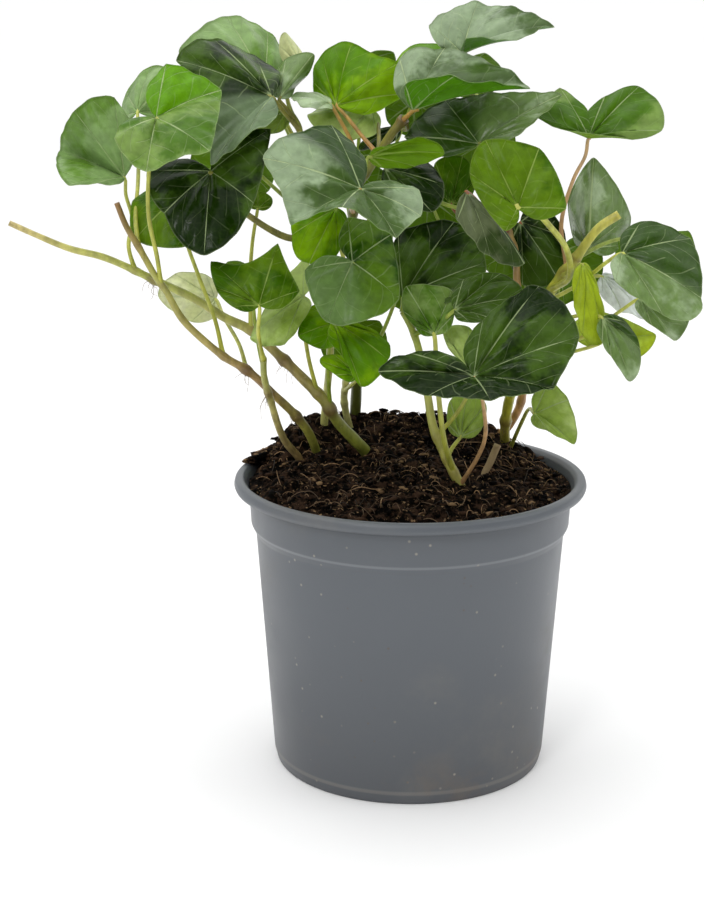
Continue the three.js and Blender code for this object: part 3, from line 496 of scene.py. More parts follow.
FIBRES = 420
fibre_parts = []
for number in range(FIBRES):
    angle, reach = dice.uniform(0, 2 * math.pi), 56 * math.sqrt(dice.uniform(0, 1))
    length, heading, bend = dice.gamma(2.5, 1.8), dice.uniform(0, 2 * math.pi), dice.normal(0, 1.1)
    steps = np.linspace(-0.5, 0.5, 4) * min(length, 16)
    sag = bend * (steps / 4) ** 2
    path = np.c_[reach * math.cos(angle) + steps * math.cos(heading) - sag * math.sin(heading),
                 reach * math.sin(angle) + steps * math.sin(heading) + sag * math.cos(heading)]
    inside = np.hypot(path[:, 0], path[:, 1])[:, None]
    path = path * np.minimum(1, 57 / inside.clip(1))
    lift = np.array((-0.6, 0.7, 0.8, -0.4))
    if number % 12 == 0:
        lift = lift + dice.uniform(0, 3) * np.array((0, 0.3, 1, 2))
    rest = peat_height(path[:, 0], path[:, 1]) - 0.6 * np.clip((inside[:, 0] - 50) / 8, 0, 1)
    path = smooth_path(np.c_[path, rest + lift + 0.25], 3)
    along = np.linspace(0, path_length(path)[-1], 9)
    thick = dice.uniform(0.06, 0.18)
    fibre_parts.append(carried(path, along, thick * np.array((0.4, 0.8, 1, 1, 1, 1, 1, 0.8, 0.3)), 4))
fibre_tints = [srgb(*(np.array((124, 98, 70)) * dice.uniform(0.2, 1.35)).clip(0, 255)) for _ in fibre_parts]
fibres = gathered("peat_fibres", fibre_parts, fibre_tints)
dry, tree, shader = new_material("dry_fibre")
tint = put(tree, "ShaderNodeAttribute", attribute_name="tint").outputs["Color"]
tree.links.new(tint, shader.inputs["Base Color"])
shader.inputs["Roughness"].default_value = 0.8
bump(tree, shader, speckle(tree, 0.4, 2.0), 0.05)
fibres.data.materials.append(dry)
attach(fibres, "root")
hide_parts("soil")

# Leaf blades of the whole plant: thin waxy sheets, dark green with patches of painted grey sheen
# above and paler below, with a net of pale yellow-green veins and a thin pale margin. A leaf is
# lettered by where it stands: a top left, b top middle, c right, d low left, e left, f middle and k on
# the far side.
SPREAD = np.radians((108, 52, 0, -52, -108))
SPREAD_LENGTH = np.array((0.68, 0.86, 1, 0.86, 0.68))
SPREAD_LIFT = np.array((0.1, 0.06, 0, 0.06, 0.1))


def far_veins(joint, tip):
    """Five vein ends spread about the line from joint to tip: ahead cos(angle) + left sin(angle) at
    each vein's length, lifted a little towards the light behind the plant."""
    joint, tip = np.array(joint, float), np.array(tip, float)
    length = np.linalg.norm(tip - joint)
    ahead = (tip - joint) / length
    up = np.array((0, 0.75, 0.66)) - np.dot((0, 0.75, 0.66), ahead) * ahead
    up /= np.linalg.norm(up)
    left = np.cross(up, ahead)
    reach = (length * SPREAD_LENGTH)[:, None]
    ends = joint + ahead * reach * np.cos(SPREAD)[:, None] + left * reach * np.sin(SPREAD)[:, None]
    return ends + up * (length * SPREAD_LIFT)[:, None]


def far_leaf(name, stalk, joint, tip):
    """A leaf on the far side: plain green, with its veins spread evenly."""
    return name, "mid", "green", stalk, joint, far_veins(joint, tip)


def blade_edge(veins, face, rounding):
    """The blade's outline as rays from the joint, with the vein that each belongs to (turn). A basal
    lobe's side is vein t -+ 0.24 sin(pi t^0.9) sideways; between two vein ends the edge is the line
    between them times 1 + rounding 4t(1-t). Then it is smoothed along its length."""
    t = np.linspace(0.1, 1, 11)[:-1]
    stand = 0.24 * np.sin(np.pi * t ** 0.9)[:, None]
    rays = [veins[0] * t[:, None] + np.cross(face, veins[0]) * stand]
    turns = [-0.49 * (1 - t)]
    for i in range(len(veins) - 1):
        count = max(9, int(np.linalg.norm(veins[i + 1] - veins[i]) / 1.5))
        t2 = np.linspace(0, 1, count, endpoint=False)[:, None]
        line = veins[i] * (1 - t2) + veins[i + 1] * t2
        rays.append(line * (1 + rounding[i] * 4 * t2 * (1 - t2)))
        turns.append(i + t2[:, 0])
    last = veins[-1]
    rays += [last[None], (last * t[:, None] - np.cross(face, last) * stand)[::-1]]
    turns += [[len(veins) - 1.0], (len(veins) - 1 + 0.49 * (1 - t))[::-1]]
    rays, turns = np.vstack(rays), np.concatenate(turns)
    run = path_length(rays)
    weight = np.exp(-((run[:, None] - run[None]) / 0.9) ** 2 / 2) * np.gradient(run)[None]
    return (weight / weight.sum(1)[:, None]) @ rays, turns


ROWS = 16
HALF_THICK = 0.27


def blade(joint, veins, rounding, seed, second=None, curl=0.0):
    """A leaf blade on a grid of turn (round the joint) and reach (0 joint, 1 edge): place = joint +
    reach ray + face (arch 0.2 reach (1 - reach) ray + quilting between the veins + waves at the edge),
    0.54 mm thick at the joint and thinning to the edge. Gives points, faces and per-point values."""
    joint = np.array(joint, float)
    veins = np.array(veins, float) - joint
    face = np.cross(veins[1:], veins[:-1]).sum(0)
    face /= np.linalg.norm(face)
    rounding = rounding or [0.08] * (len(veins) - 1)
    rays, turn = blade_edge(veins, face, rounding)
    own = np.random.default_rng(seed)
    reach = np.linspace(0, 1, ROWS + 1)[1:, None]
    long = np.linalg.norm(rays, axis=1)[None]
    run = path_length(rays)[None]
    frac = np.abs(turn - np.round(turn))[None]
    arch = 0.2 * reach * (1 - reach) * long
    quilt = 0.055 * long * np.sin(np.pi * frac) ** 2 * np.sin(np.pi * reach ** 0.9)
    wave = sum(own.uniform(0.15, 0.5) * np.sin(run * 2 * np.pi / wide + own.uniform(0, 6.3))
               for wide in (21, 13, 7.5))
    drape = curl * long * reach ** 3
    lift = arch + quilt + reach ** 2 * wave * np.minimum(1, long / 18) + drape
    sheet = joint + reach[..., None] * rays + lift[..., None] * face
    flat = reach[..., None] * rays
    ends = rays[np.searchsorted(turn, np.arange(len(veins)) - 1e-6)]
    size = np.linalg.norm(ends, axis=1)
    ahead = ends / size[:, None]
    dot = np.clip(flat @ ahead.T, 0, size)
    near = np.linalg.norm(flat[:, :, None] - dot[..., None] * ahead, axis=-1).min(-1)
    normal = np.cross(np.gradient(sheet, axis=0), np.gradient(sheet, axis=1))
    normal *= np.sign((normal * face).sum(-1).mean())
    normal /= np.linalg.norm(normal, axis=-1)[..., None].clip(1e-6)
    half = (HALF_THICK * (1 - 0.6 * reach ** 3))[..., None] * normal
    columns = len(turn)
    upper = np.vstack([(sheet + half).reshape(-1, 3), joint + HALF_THICK * face])
    lower = np.vstack([(sheet - half).reshape(-1, 3), joint - HALF_THICK * face])
    n = ROWS * columns
    i, j = np.meshgrid(np.arange(ROWS - 1), np.arange(columns - 1), indexing="ij")
    a = (i * columns + j).ravel()
    quads = np.stack([a, a + 1, a + 1 + columns, a + columns], -1)
    j = np.arange(columns - 1)
    tips = np.stack([np.full(columns - 1, n), j + 1, j], -1)
    rim = np.concatenate([[n], np.arange(ROWS) * columns, (ROWS - 1) * columns + np.arange(1, columns),
                          (np.arange(ROWS - 1) * columns)[::-1] + columns - 1])
    after = np.roll(rim, -1)
    below = n + 1
    skirt = np.stack([rim, after, after + below, rim + below], -1)
    faces = quads.tolist() + tips.tolist()
    faces += (quads[:, ::-1] + below).tolist() + (tips[:, ::-1] + below).tolist() + skirt[:, ::-1].tolist()
    spread = {
        "near": near, "turn": turn[None] + 0 * near, "reach": reach + 0 * near, "ray": long + 0 * near,
        "zone": np.zeros_like(near) if second is None else zone_share(turn, second)[None] + 0 * near,
    }
    at_joint = {"near": 0.0, "turn": (len(veins) - 1) / 2, "reach": 0.0, "ray": long.mean(), "zone": 0.5}
    values = {key: np.tile(np.append(grid.ravel(), at_joint[key]), 2) for key, grid in spread.items()}
    values["underside"] = np.repeat((0.0, 1.0), n + 1)
    return np.vstack([upper, lower]), faces, values


def zone_share(turn, second):
    """1 where turn lies between the two given veins, 0 elsewhere, with a soft step of 0.3."""
    start, stop = second
    return np.clip((turn - start) / 0.3 + 0.5, 0, 1) * np.clip((stop - turn) / 0.3 + 0.5, 0, 1)


# Veins and painted sheen of an ivy blade. near is the distance to the nearest main vein in millimetres.
# Side veins follow reach exp(-1.3 |turn - vein|) = whole numbers / 4.4, so they leave a main vein
# slantwise and run out to the edge.
skin, given, wanted = new_group(
    "ivy_blade",
    [("Upper", "Color"), ("Painted sheen", "Color"), ("Vein", "Color"), ("Underside", "Color"), ("Second", "Color"),
     ("Vein share", "Float"), ("Gloss", "Float")],
    [("Color", "Color"), ("Roughness", "Float"), ("Height", "Float")],
)
field = {key: put(skin, "ShaderNodeAttribute", attribute_name=key).outputs["Fac"]
         for key in ("near", "turn", "reach", "ray", "zone", "underside")}
width = plus(skin, times(skin, sums(skin, "SUBTRACT", 1.0, field["reach"]), 0.2), 0.08)
near = plus(skin, field["near"], fade(skin, speckle(skin, 5, 2.0), 0.3, 0.7, -0.12, 0.12))
main = sums(skin, "SUBTRACT", 1.0, fade(skin, sums(skin, "DIVIDE", near, width), 0.5, 1.7))
aside = sums(skin, "SUBTRACT", field["turn"], sums(skin, "ROUND", field["turn"]))
slant = sums(skin, "EXPONENT", times(skin, sums(skin, "ABSOLUTE", aside), -1.3))
step = times(skin, times(skin, field["reach"], slant), 4.4)
step = plus(skin, step, times(skin, speckle(skin, 9, 2.0), 0.8))
step = plus(skin, step, times(skin, sums(skin, "GREATER_THAN", aside, 0.0), 0.45))
off = sums(skin, "ABSOLUTE", sums(skin, "SUBTRACT", sums(skin, "FRACT", step), 0.5))
off = times(skin, off, sums(skin, "DIVIDE", field["ray"], 4.4))
lateral = fade(skin, off, 0.06, 0.28, 1.0, 0.0)
lateral = times(skin, lateral, fade(skin, speckle(skin, 12, 2.0), 0.38, 0.62, 0.3, 1.0))
where = put(skin, "ShaderNodeTexCoord").outputs["Object"]
warp = put(skin, "ShaderNodeTexNoise", {"Vector": where, "Scale": 160.0, "Detail": 2.0}).outputs["Color"]
warp = {0: warp, 1: (0.0012, 0.0012, 0.0012)}
warp = put(skin, "ShaderNodeVectorMath", warp, operation="MULTIPLY").outputs[0]
where = put(skin, "ShaderNodeVectorMath", {0: where, 1: warp}, operation="ADD").outputs[0]
cells = {"Vector": where, "Scale": 330.0}
cells = put(skin, "ShaderNodeTexVoronoi", cells, feature="DISTANCE_TO_EDGE").outputs[0]
net = fade(skin, cells, 0.02, 0.16, 1.0, 0.0)
edge = times(skin, sums(skin, "SUBTRACT", 1.0, field["reach"]), field["ray"])
margin = fade(skin, edge, 0.12, 0.5, 1.0, 0.0)
# Patches of painted grey sheen over the blade's upper colour, standing in for the shine of the bright room
# on a glossy leaf.
tone = mixed(skin, fade(skin, speckle(skin, 16, 5.0, 0.6), 0.46, 0.56), given["Upper"], given["Painted sheen"])
# A second colour over part of some blades, between two given veins. On a3 it paints the glow of light
# shining through the upper lobe, and on a4 it paints a grey sheen over the lower half. On the other blades
# it is a different green of the blade itself.
tone = mixed(skin, field["zone"], tone, given["Second"])
fine = speckle(skin, 2.2, 3.0, 0.6)
shade = {"Value": fade(skin, fine, 0.25, 0.75, 0.82, 1.16), "Color": tone}
shade = put(skin, "ShaderNodeHueSaturation", shade).outputs[0]
line = sums(skin, "MAXIMUM", times(skin, lateral, 0.38), times(skin, net, 0.02))
line = sums(skin, "MAXIMUM", times(skin, margin, 0.4), line)
line = sums(skin, "MAXIMUM", main, line)
line = times(skin, line, given["Vein share"])
shade = mixed(skin, line, shade, given["Vein"])
below = {"Value": fade(skin, fine, 0.25, 0.75, 0.9, 1.1), "Color": given["Underside"]}
below = put(skin, "ShaderNodeHueSaturation", below).outputs[0]
below = mixed(skin, times(skin, line, 0.8), below, given["Vein"])
skin.links.new(mixed(skin, field["underside"], shade, below), wanted["Color"])
sheen = plus(skin, given["Gloss"], fade(skin, speckle(skin, 6, 3.0), 0.3, 0.7, -0.05, 0.09))
skin.links.new(plus(skin, sheen, times(skin, field["underside"], 0.15)), wanted["Roughness"])
relief = sums(skin, "SUBTRACT", times(skin, fine, 0.35), times(skin, main, 0.55))
relief = sums(skin, "SUBTRACT", relief, times(skin, lateral, 0.4))
relief = sums(skin, "SUBTRACT", relief, times(skin, net, 0.06))
relief = plus(skin, relief, times(skin, speckle(skin, 7, 2.0), 3.0))
skin.links.new(relief, wanted["Height"])

PALE_VEIN, YELLOW_VEIN = srgb(176, 194, 140), srgb(150, 172, 84)
# The silver tone is a whole blade painted in grey-white sheen, and the mist tone's pale grey-green is the
# blade's green with painted sheen in it. The bright tone paints the yellow-green glow of light shining
# through a blade.
BLADE_TONES = {
    # name: upper, painted sheen, vein, underside, second, vein share, gloss, specular level
    "soft": ((90, 126, 42), (124, 154, 92), PALE_VEIN, (122, 154, 56), (82, 114, 34), 0.55, 0.3, 0.14),
    "light": ((140, 166, 68), (172, 194, 110), PALE_VEIN, (150, 176, 74), (96, 130, 30), 0.55, 0.34, 0.1),
    "mist": ((98, 124, 64), (148, 168, 128), PALE_VEIN, (124, 150, 76), (44, 72, 8), 0.6, 0.28, 0.2),
    "leafy": ((66, 104, 6), (112, 140, 66), PALE_VEIN, (112, 148, 30), (88, 140, 0), 0.6, 0.28, 0.1),
    "bright": ((78, 122, 0), (110, 150, 4), YELLOW_VEIN, (110, 152, 8), (70, 110, 2), 0.6, 0.32, 0.03),
    "green": ((54, 90, 0), (84, 116, 14), YELLOW_VEIN, (96, 136, 12), (112, 138, 66), 0.6, 0.26, 0.06),
    "mid": ((34, 68, 0), (80, 112, 26), PALE_VEIN, (88, 124, 12), (92, 120, 62), 0.6, 0.22, 0.08),
    "dark": ((17, 37, 0), (58, 84, 20), PALE_VEIN, (88, 122, 14), (98, 118, 84), 0.55, 0.2, 0.09),
    "grey": ((62, 88, 32), (132, 152, 116), PALE_VEIN, (72, 126, 2), (38, 64, 12), 0.65, 0.28, 0.2),
    "silver": ((204, 212, 208), (218, 224, 222), PALE_VEIN, (120, 150, 60), (110, 132, 84), 0.4, 0.3, 0.24),
    "fresh": ((158, 178, 36), (178, 200, 72), YELLOW_VEIN, (160, 184, 54), (120, 150, 20), 0.4, 0.4, 0.08),
    "plum": ((46, 64, 22), (88, 98, 66), PALE_VEIN, (84, 108, 26), (96, 100, 78), 0.5, 0.3, 0.14),
    "wan": ((206, 212, 152), (214, 218, 172), PALE_VEIN, (204, 210, 152), (150, 166, 80), 0.4, 0.42, 0.12),
}
blade_skins = {}
for tone_name, (upper, painted_sheen, vein, underside, second, vein_share, gloss, specular) in BLADE_TONES.items():
    made, tree, shader = new_material("ivy_blade_" + tone_name)
    look = put(tree, "ShaderNodeGroup", {}, node_tree=skin)
    for socket, value in (
        ("Upper", srgb(*upper)), ("Painted sheen", srgb(*painted_sheen)), ("Vein", vein), ("Second", srgb(*second)),
        ("Underside", srgb(*underside)), ("Vein share", vein_share), ("Gloss", gloss),
    ):
        look.inputs[socket].default_value = value
    tree.links.new(look.outputs["Color"], shader.inputs["Base Color"])
    tree.links.new(look.outputs["Roughness"], shader.inputs["Roughness"])
    shader.inputs["Coat Weight"].default_value = 0.06
    shader.inputs["Specular IOR Level"].default_value = specular
    shader.inputs["Coat Roughness"].default_value = 0.3
    bump(tree, shader, look.outputs["Height"], 0.3)
    blade_skins[tone_name] = made

# Bark of stems and skin of leaf stalks: the tint is painted along each one, with fine streaks and
# pores.
stem_skin, tree, shader = new_material("ivy_stem_skin")
tint = put(tree, "ShaderNodeAttribute", attribute_name="tint").outputs["Color"]
streak = fade(tree, speckle(tree, 1.4, 3.0, 0.6, (1.0, 1.0, 0.35)), 0.3, 0.7, 0.72, 1.18)
body = put(tree, "ShaderNodeHueSaturation", {"Value": streak, "Color": tint}).outputs[0]
pores = fade(tree, speckle(tree, 0.9, 2.0), 0.68, 0.78, 0.0, 0.45)
body = mixed(tree, pores, body, srgb(196, 176, 132))
tree.links.new(body, shader.inputs["Base Color"])
shader.inputs["Roughness"].default_value = 0.38
bump(tree, shader, speckle(tree, 1.0, 3.0, 0.6), 0.15)

STALK_TINTS = {
    "green": ((126, 144, 40), (156, 172, 72)), "yellow": ((168, 170, 62), (190, 194, 92)),
    "pink": ((176, 136, 92), (196, 162, 116)), "red": ((128, 66, 44), (160, 98, 62)),
    "brown": ((122, 116, 48), (136, 134, 58)), "orange": ((160, 116, 50), (172, 140, 62)),
}


def blended(stops, share):
    """A colour for each share: screen values between the stops, evenly spaced from 0 to 1."""
    stops = np.array(stops, float)
    place = np.linspace(0, 1, len(stops))
    values = np.stack([np.interp(share, place, stops[:, k]) for k in range(3)], -1) / 255.0
    return np.c_[((values + 0.055) / 1.055) ** 2.4, np.ones(len(values))]


PLANTING_DEPTH, STEM_SIDES, STALK_SIDES = 9, 18, 12


def shoot(node, route, diameters, bark, leaves, knots=()):
    """A leafy stem: the stem carried along its route from 9 mm down in the peat, swollen by a sixth
    where a leaf stalk sits and by a third at an old knot: radius (1 + 0.17 exp(-(distance / 1.8)^2));
    fine rootlets that hang from the knots; leaf stalks that widen where they spring; and one piece a
    blade."""
    path = smooth_path([(route[0][0], route[0][1], route[0][2] - PLANTING_DEPTH), *route])
    total = path_length(path)
    along = np.linspace(0, total[-1], int(total[-1] / 1.1))
    radius = np.interp(along, (0, total[-1]), diameters) / 2
    spots = [(total[((path - np.array(leaf[3][0])) ** 2).sum(1).argmin()], 1) for leaf in leaves]
    spots += [(knot, 2) for knot in knots]
    swell = np.zeros(len(along))
    for spot, weight in spots:
        swell = swell + 0.17 * weight * np.exp(-((along - spot) / 1.8) ** 2)
    radius = radius * (1 + np.minimum(swell, 0.36))
    shaped = np.concatenate([[along[0]] * 2, along, [along[-1]] * 3])
    girth = np.concatenate([[0.01, radius[0] * 0.8], radius, radius[-1] * np.array((0.92, 0.72, 0.4))])
    shaped[-2:] += (0.25, 0.32)
    shaped[-3] += 0.12
    parts = [carried(path, np.minimum(shaped, total[-1]), girth, STEM_SIDES, 0.05, len(route))]
    share = np.clip(shaped / total[-1], 0, 1)
    colour = blended(bark, share)
    dark = np.zeros(len(shaped))
    for spot, weight in spots:
        dark = dark + 0.35 * weight * np.exp(-((shaped - spot) / (1.2 * weight)) ** 2)
    dark = np.clip(dark, 0, 0.75)[:, None]
    colour[:, :3] = colour[:, :3] * (1 - dark) + np.array(srgb(104, 78, 48)[:3]) * dark
    tints = [np.vstack([np.repeat(colour, STEM_SIDES, axis=0), colour[:1], colour[-1:]])]
    own = np.random.default_rng(len(route) + len(knots))
    for knot in np.repeat(knots, 5):
        start = [np.interp(knot, total, path[:, k]) for k in range(3)]
        steps = np.cumsum(np.vstack([start, own.normal(0, 1.1, (3, 3)) + (0, 0, -1.6)]), axis=0)
        run = smooth_path(steps, 4)
        reach = path_length(run)
        ends = np.linspace(0, reach[-1], 10)
        parts.append(carried(run, ends, 0.11 - 0.06 * ends / reach[-1], 5))
        tints.append(srgb(122, 98, 66))
    for number, (name, tone, stalk_tint, stalk, joint, veins, *more) in enumerate(leaves):
        rounding = more[0] if more else None
        extra = dict(more[1]) if len(more) > 1 else {}
        stout = extra.pop("stout", 1.0)
        veins = np.array(veins, float)
        root = path[((path - np.array(stalk[0])) ** 2).sum(1).argmin()]
        inside = np.array(joint) * 0.95 + veins[len(veins) // 2] * 0.05
        run = smooth_path([root, *stalk[1:], joint, inside], 7)
        reach = path_length(run)
        steps = np.linspace(0, reach[-1], max(8, int(reach[-1] / 1.2)))
        thick = stout * (0.82 - 0.2 * steps / reach[-1]) + 0.5 * np.exp(-steps / 1.6)
        thick = np.append(thick, thick[-1] * 0.5)
        steps = np.append(steps, steps[-1])
        parts.append(carried(run, steps, thick, STALK_SIDES, 0.04, number))
        colour = blended(STALK_TINTS[stalk_tint], steps / reach[-1])
        tints.append(np.vstack([np.repeat(colour, STALK_SIDES, axis=0), colour[:1], colour[-1:]]))
        points, faces, values = blade(joint, veins, rounding, sum(map(ord, name)) * 7 + len(name), **extra)
        sheet = surface("leaf_" + name, points, faces)
        for key, value in values.items():
            held = sheet.data.attributes.new(key, "FLOAT", "POINT")
            held.data.foreach_set("value", value.astype(np.float32))
        sheet.data.materials.append(blade_skins[tone])
        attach(sheet, "root")
        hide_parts(node)
    wood = gathered(node.replace("_stem", "_shoot"), parts, tints)
    wood.data.materials.append(stem_skin)
    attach(wood, "root")
    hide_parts(node)


# A thin brown stem that leans out low at the left, with one leaf in front and one behind. Like every
# stem here it is rooted in the peat, and its leaves have grown from it.
route = [
    (-41, 9, 111), (-46, 1, 121), (-48, -6, 128), (-50, -14, 139), (-52, -20, 149), (-52, -25, 158),
]
leaves = [
    ("d30", "green", "yellow", [(-52, -25, 158), (-53, -34, 169)], (-52, -41, 180),
     [(-61, -43, 180), (-67, -39, 186), (-69, -33, 194), (-46, -31, 200), (-38, -39, 185)],
     [0.1, 0.05, -0.2, -0.03]),
    far_leaf("k16", [(-52, -10, 143), (-56, 0, 160), (-58, 8, 172)], (-58, 14, 181), (-62, 22, 167)),
]
shoot("low_left_stem", route, (3, 2.2), [(146, 116, 74), (170, 150, 96), (178, 170, 100),
      (156, 164, 76)], leaves, (53,))

# A green stem that runs out to the left and turns up, with a large leaf on a long stalk. It has
# two knots near the peat and was cut off at its brown tip.
route = [
    (-35, 15, 111), (-39, 4, 126), (-50, -6, 141), (-59, -12, 151), (-67, -16, 157), (-75, -20, 165),
    (-81, -22, 172), (-86, -24, 182), (-89, -26, 187), (-95, -26, 198), (-99, -26, 205),
    (-102, -26, 213),
]
leaves = [
    ("a3", "leafy", "yellow", [(-87, -25, 185), (-88, -30, 195), (-90, -34, 210), (-89, -36, 227)],
     (-86, -38, 243),
     [(-84, -25, 260), (-65, -25, 251), (-66, -58, 234), (-87, -58, 227), (-98, -54, 238)],
     [0.1, 0.02, -0.08, 0.1], {"second": (-0.5, 1.0)}),
    ("a2", "soft", "yellow", [(-95, -26, 198), (-97, -16, 206), (-98, 0, 218), (-99, 12, 231)],
     (-100, 18, 240),
     [(-108, 29, 236), (-106, 33, 246), (-97, 36, 256), (-88, 29, 252), (-89, 28, 238)]),
    ("e36", "green", "yellow", [(-67, -16, 158), (-70, -14, 170), (-76, -10, 185), (-81, -10, 201)],
     (-82, -12, 214),
     [(-76, -18, 203), (-80, -22, 197), (-97, -18, 199), (-99, -10, 211), (-92, -8, 216)]),
    ("e39", "wan", "yellow", [(-59, -12, 151), (-63, 4, 157), (-70, 20, 164)], (-74, 30, 169),
     [(-75, 26, 162), (-83, 26, 161), (-96, 30, 170), (-90, 34, 178), (-78, 34, 178)]),
]
shoot("forked_left_stem", route, (3.6, 2), [(140, 150, 56), (152, 150, 66), (154, 124, 78),
      (164, 150, 80), (160, 160, 78), (132, 100, 60)], leaves, (35, 65))

# The longest stem, cut off at the far left. It is thick and brown at the soil, with knots, and green
# further out.
route = [
    (-16, 12, 113), (-21, 6, 121), (-27, 2, 129), (-32, -2, 138), (-41, -4, 148), (-47, -4, 154),
    (-58, -4, 164), (-68, -4, 169), (-80, -2, 176), (-92, 0, 181), (-100, 0, 185), (-112, 0, 190),
    (-124, 0, 193), (-136, 0, 198), (-145, 0, 202),
]
leaves = [
    ("a1", "soft", "yellow", [(-100, 0, 185), (-102, -1, 194), (-100, -3, 204), (-102, -4, 213)],
     (-102, -5, 219),
     [(-109, -22, 219), (-119, -25, 219), (-127, 8, 227), (-119, -5, 242), (-105, -3, 247)],
     [0.1, 0.12, 0.07, 0.1]),
    ("d31", "light", "yellow", [(-34, -2, 140), (-37, -10, 156), (-38, -16, 168)], (-38, -18, 179),
     [(-35, -20, 176), (-44, -30, 164), (-57, -24, 165), (-46, -12, 182), (-38, -8, 191)]),
    ("d32", "bright", "green", [(-30, 0, 134), (-30, -8, 149), (-29, -16, 161)], (-27, -20, 170),
     [(-24, -25, 164), (-31, -26, 162), (-40, -24, 166), (-36, -16, 175), (-30, -14, 176)]),
    ("e38", "green", "yellow", [(-58, -4, 164), (-58, -5, 180), (-57, -5, 196)], (-55, -4, 208),
     [(-59, -4, 210), (-58, -2, 212), (-55, -1, 214), (-50, -2, 212), (-50, -4, 209)]),
]
shoot("long_left_stem", route, (4.6, 2), [(136, 144, 54), (132, 138, 54), (158, 140, 80),
      (168, 166, 86), (160, 166, 76), (182, 180, 94), (192, 174, 114)], leaves, (38, 63, 119))

# The thickest stem, olive brown and woody, that rises behind the middle. It carries the big
# grey-green leaves at the top.
route = [
    (-22, 40, 112), (-21, 36, 132), (-21, 28, 154), (-22, 20, 175), (-22, 10, 195), (-21, 0, 208),
    (-19, -6, 217), (-12, -10, 228), (-7, -12, 236), (-3, -14, 241),
]
leaves = [
    ("b12", "grey", "orange", [(-4, -14, 240), (-2, -17, 242)], (0, -18, 244),
     [(-5, -4, 261), (11, 0, 264), (40, -24, 252), (14, -32, 256), (-3, -26, 254)],
     [0.1, 0.1, 0.02, 0.12], {"second": (2.1, 2.9)}),
    ("d27", "grey", "orange", [(-21, 0, 205), (-21, -30, 213), (-19, -50, 219)], (-17, -58, 222),
     [(2, -52, 221), (3, -60, 214), (-5, -70, 208), (-22, -80, 220), (-39, -72, 212), (-49, -58, 232),
     (-27, -42, 241)], [0.05, 0, 0, -0.1, -0.04, 0.15], {"second": (5.5, 6.6)}),
    ("b10", "bright", "orange", [(-12, -10, 228), (-18, -4, 234), (-24, 0, 241)], (-27, 2, 244),
     [(-36, 17, 251), (-33, 19, 261), (-22, 19, 265), (-5, 3, 259), (-3, 2, 248)],
     [0.1, 0.08, -0.03, 0.05]),
    ("a9", "mist", "orange", [(-16, -8, 221), (-22, -6, 233), (-27, -5, 242)], (-29, -4, 245),
     [(-33, -15, 244), (-38, -17, 246), (-43, -2, 247), (-38, 3, 249), (-33, 3, 248)]),
    ("f43", "green", "green", [(-20, -3, 211), (-18, -16, 220), (-16, -22, 226)], (-15, -25, 229),
     [(-10, -23, 225), (1, -21, 225), (11, -25, 231), (2, -29, 236), (-8, -28, 233)]),
    ("b11", "bright", "green", [(-3, -14, 241), (2, 4, 244), (1, 18, 250)], (-2, 24, 253),
     [(-7, 37, 256), (-1, 40, 263), (14, 40, 262), (11, 40, 258), (2, 37, 253)]),
    ("f41", "light", "brown", [(-12, -10, 228), (-12, 0, 234), (-13, 8, 239)], (-15, 10, 242),
     [(-13, 2, 234), (-24, 0, 232), (-38, 8, 239), (-29, 16, 244), (-19, 16, 245)]),
    ("f42", "dark", "brown", [(-3, -14, 241), (-2, 0, 236), (-4, 10, 235)], (-5, 14, 235),
     [(-6, 10, 231), (-12, 9, 228), (-20, 12, 228), (-15, 16, 233), (-9, 17, 235)]),
    far_leaf("k1", [(-22, 20, 175), (-23, 30, 196), (-25, 36, 212)], (-25, 38, 221), (-29, 44, 203)),
    far_leaf("k2", [(-22, 22, 169), (-9, 46, 184), (-8, 47, 204)], (-8, 46, 213), (-4, 56, 195)),
    far_leaf("k14", [(-22, 10, 195), (-20, 24, 226), (-19, 34, 248)], (-19, 36, 257), (-20, 46, 242)),
    far_leaf("k17", [(-22, 20, 175), (-16, 28, 200), (-6, 30, 228)], (0, 28, 243), (1, 33, 229)),
]
shoot("thick_back_stem", route, (4.4, 3), [(84, 84, 34), (80, 92, 30), (90, 106, 34), (128, 120, 52)],
      leaves)

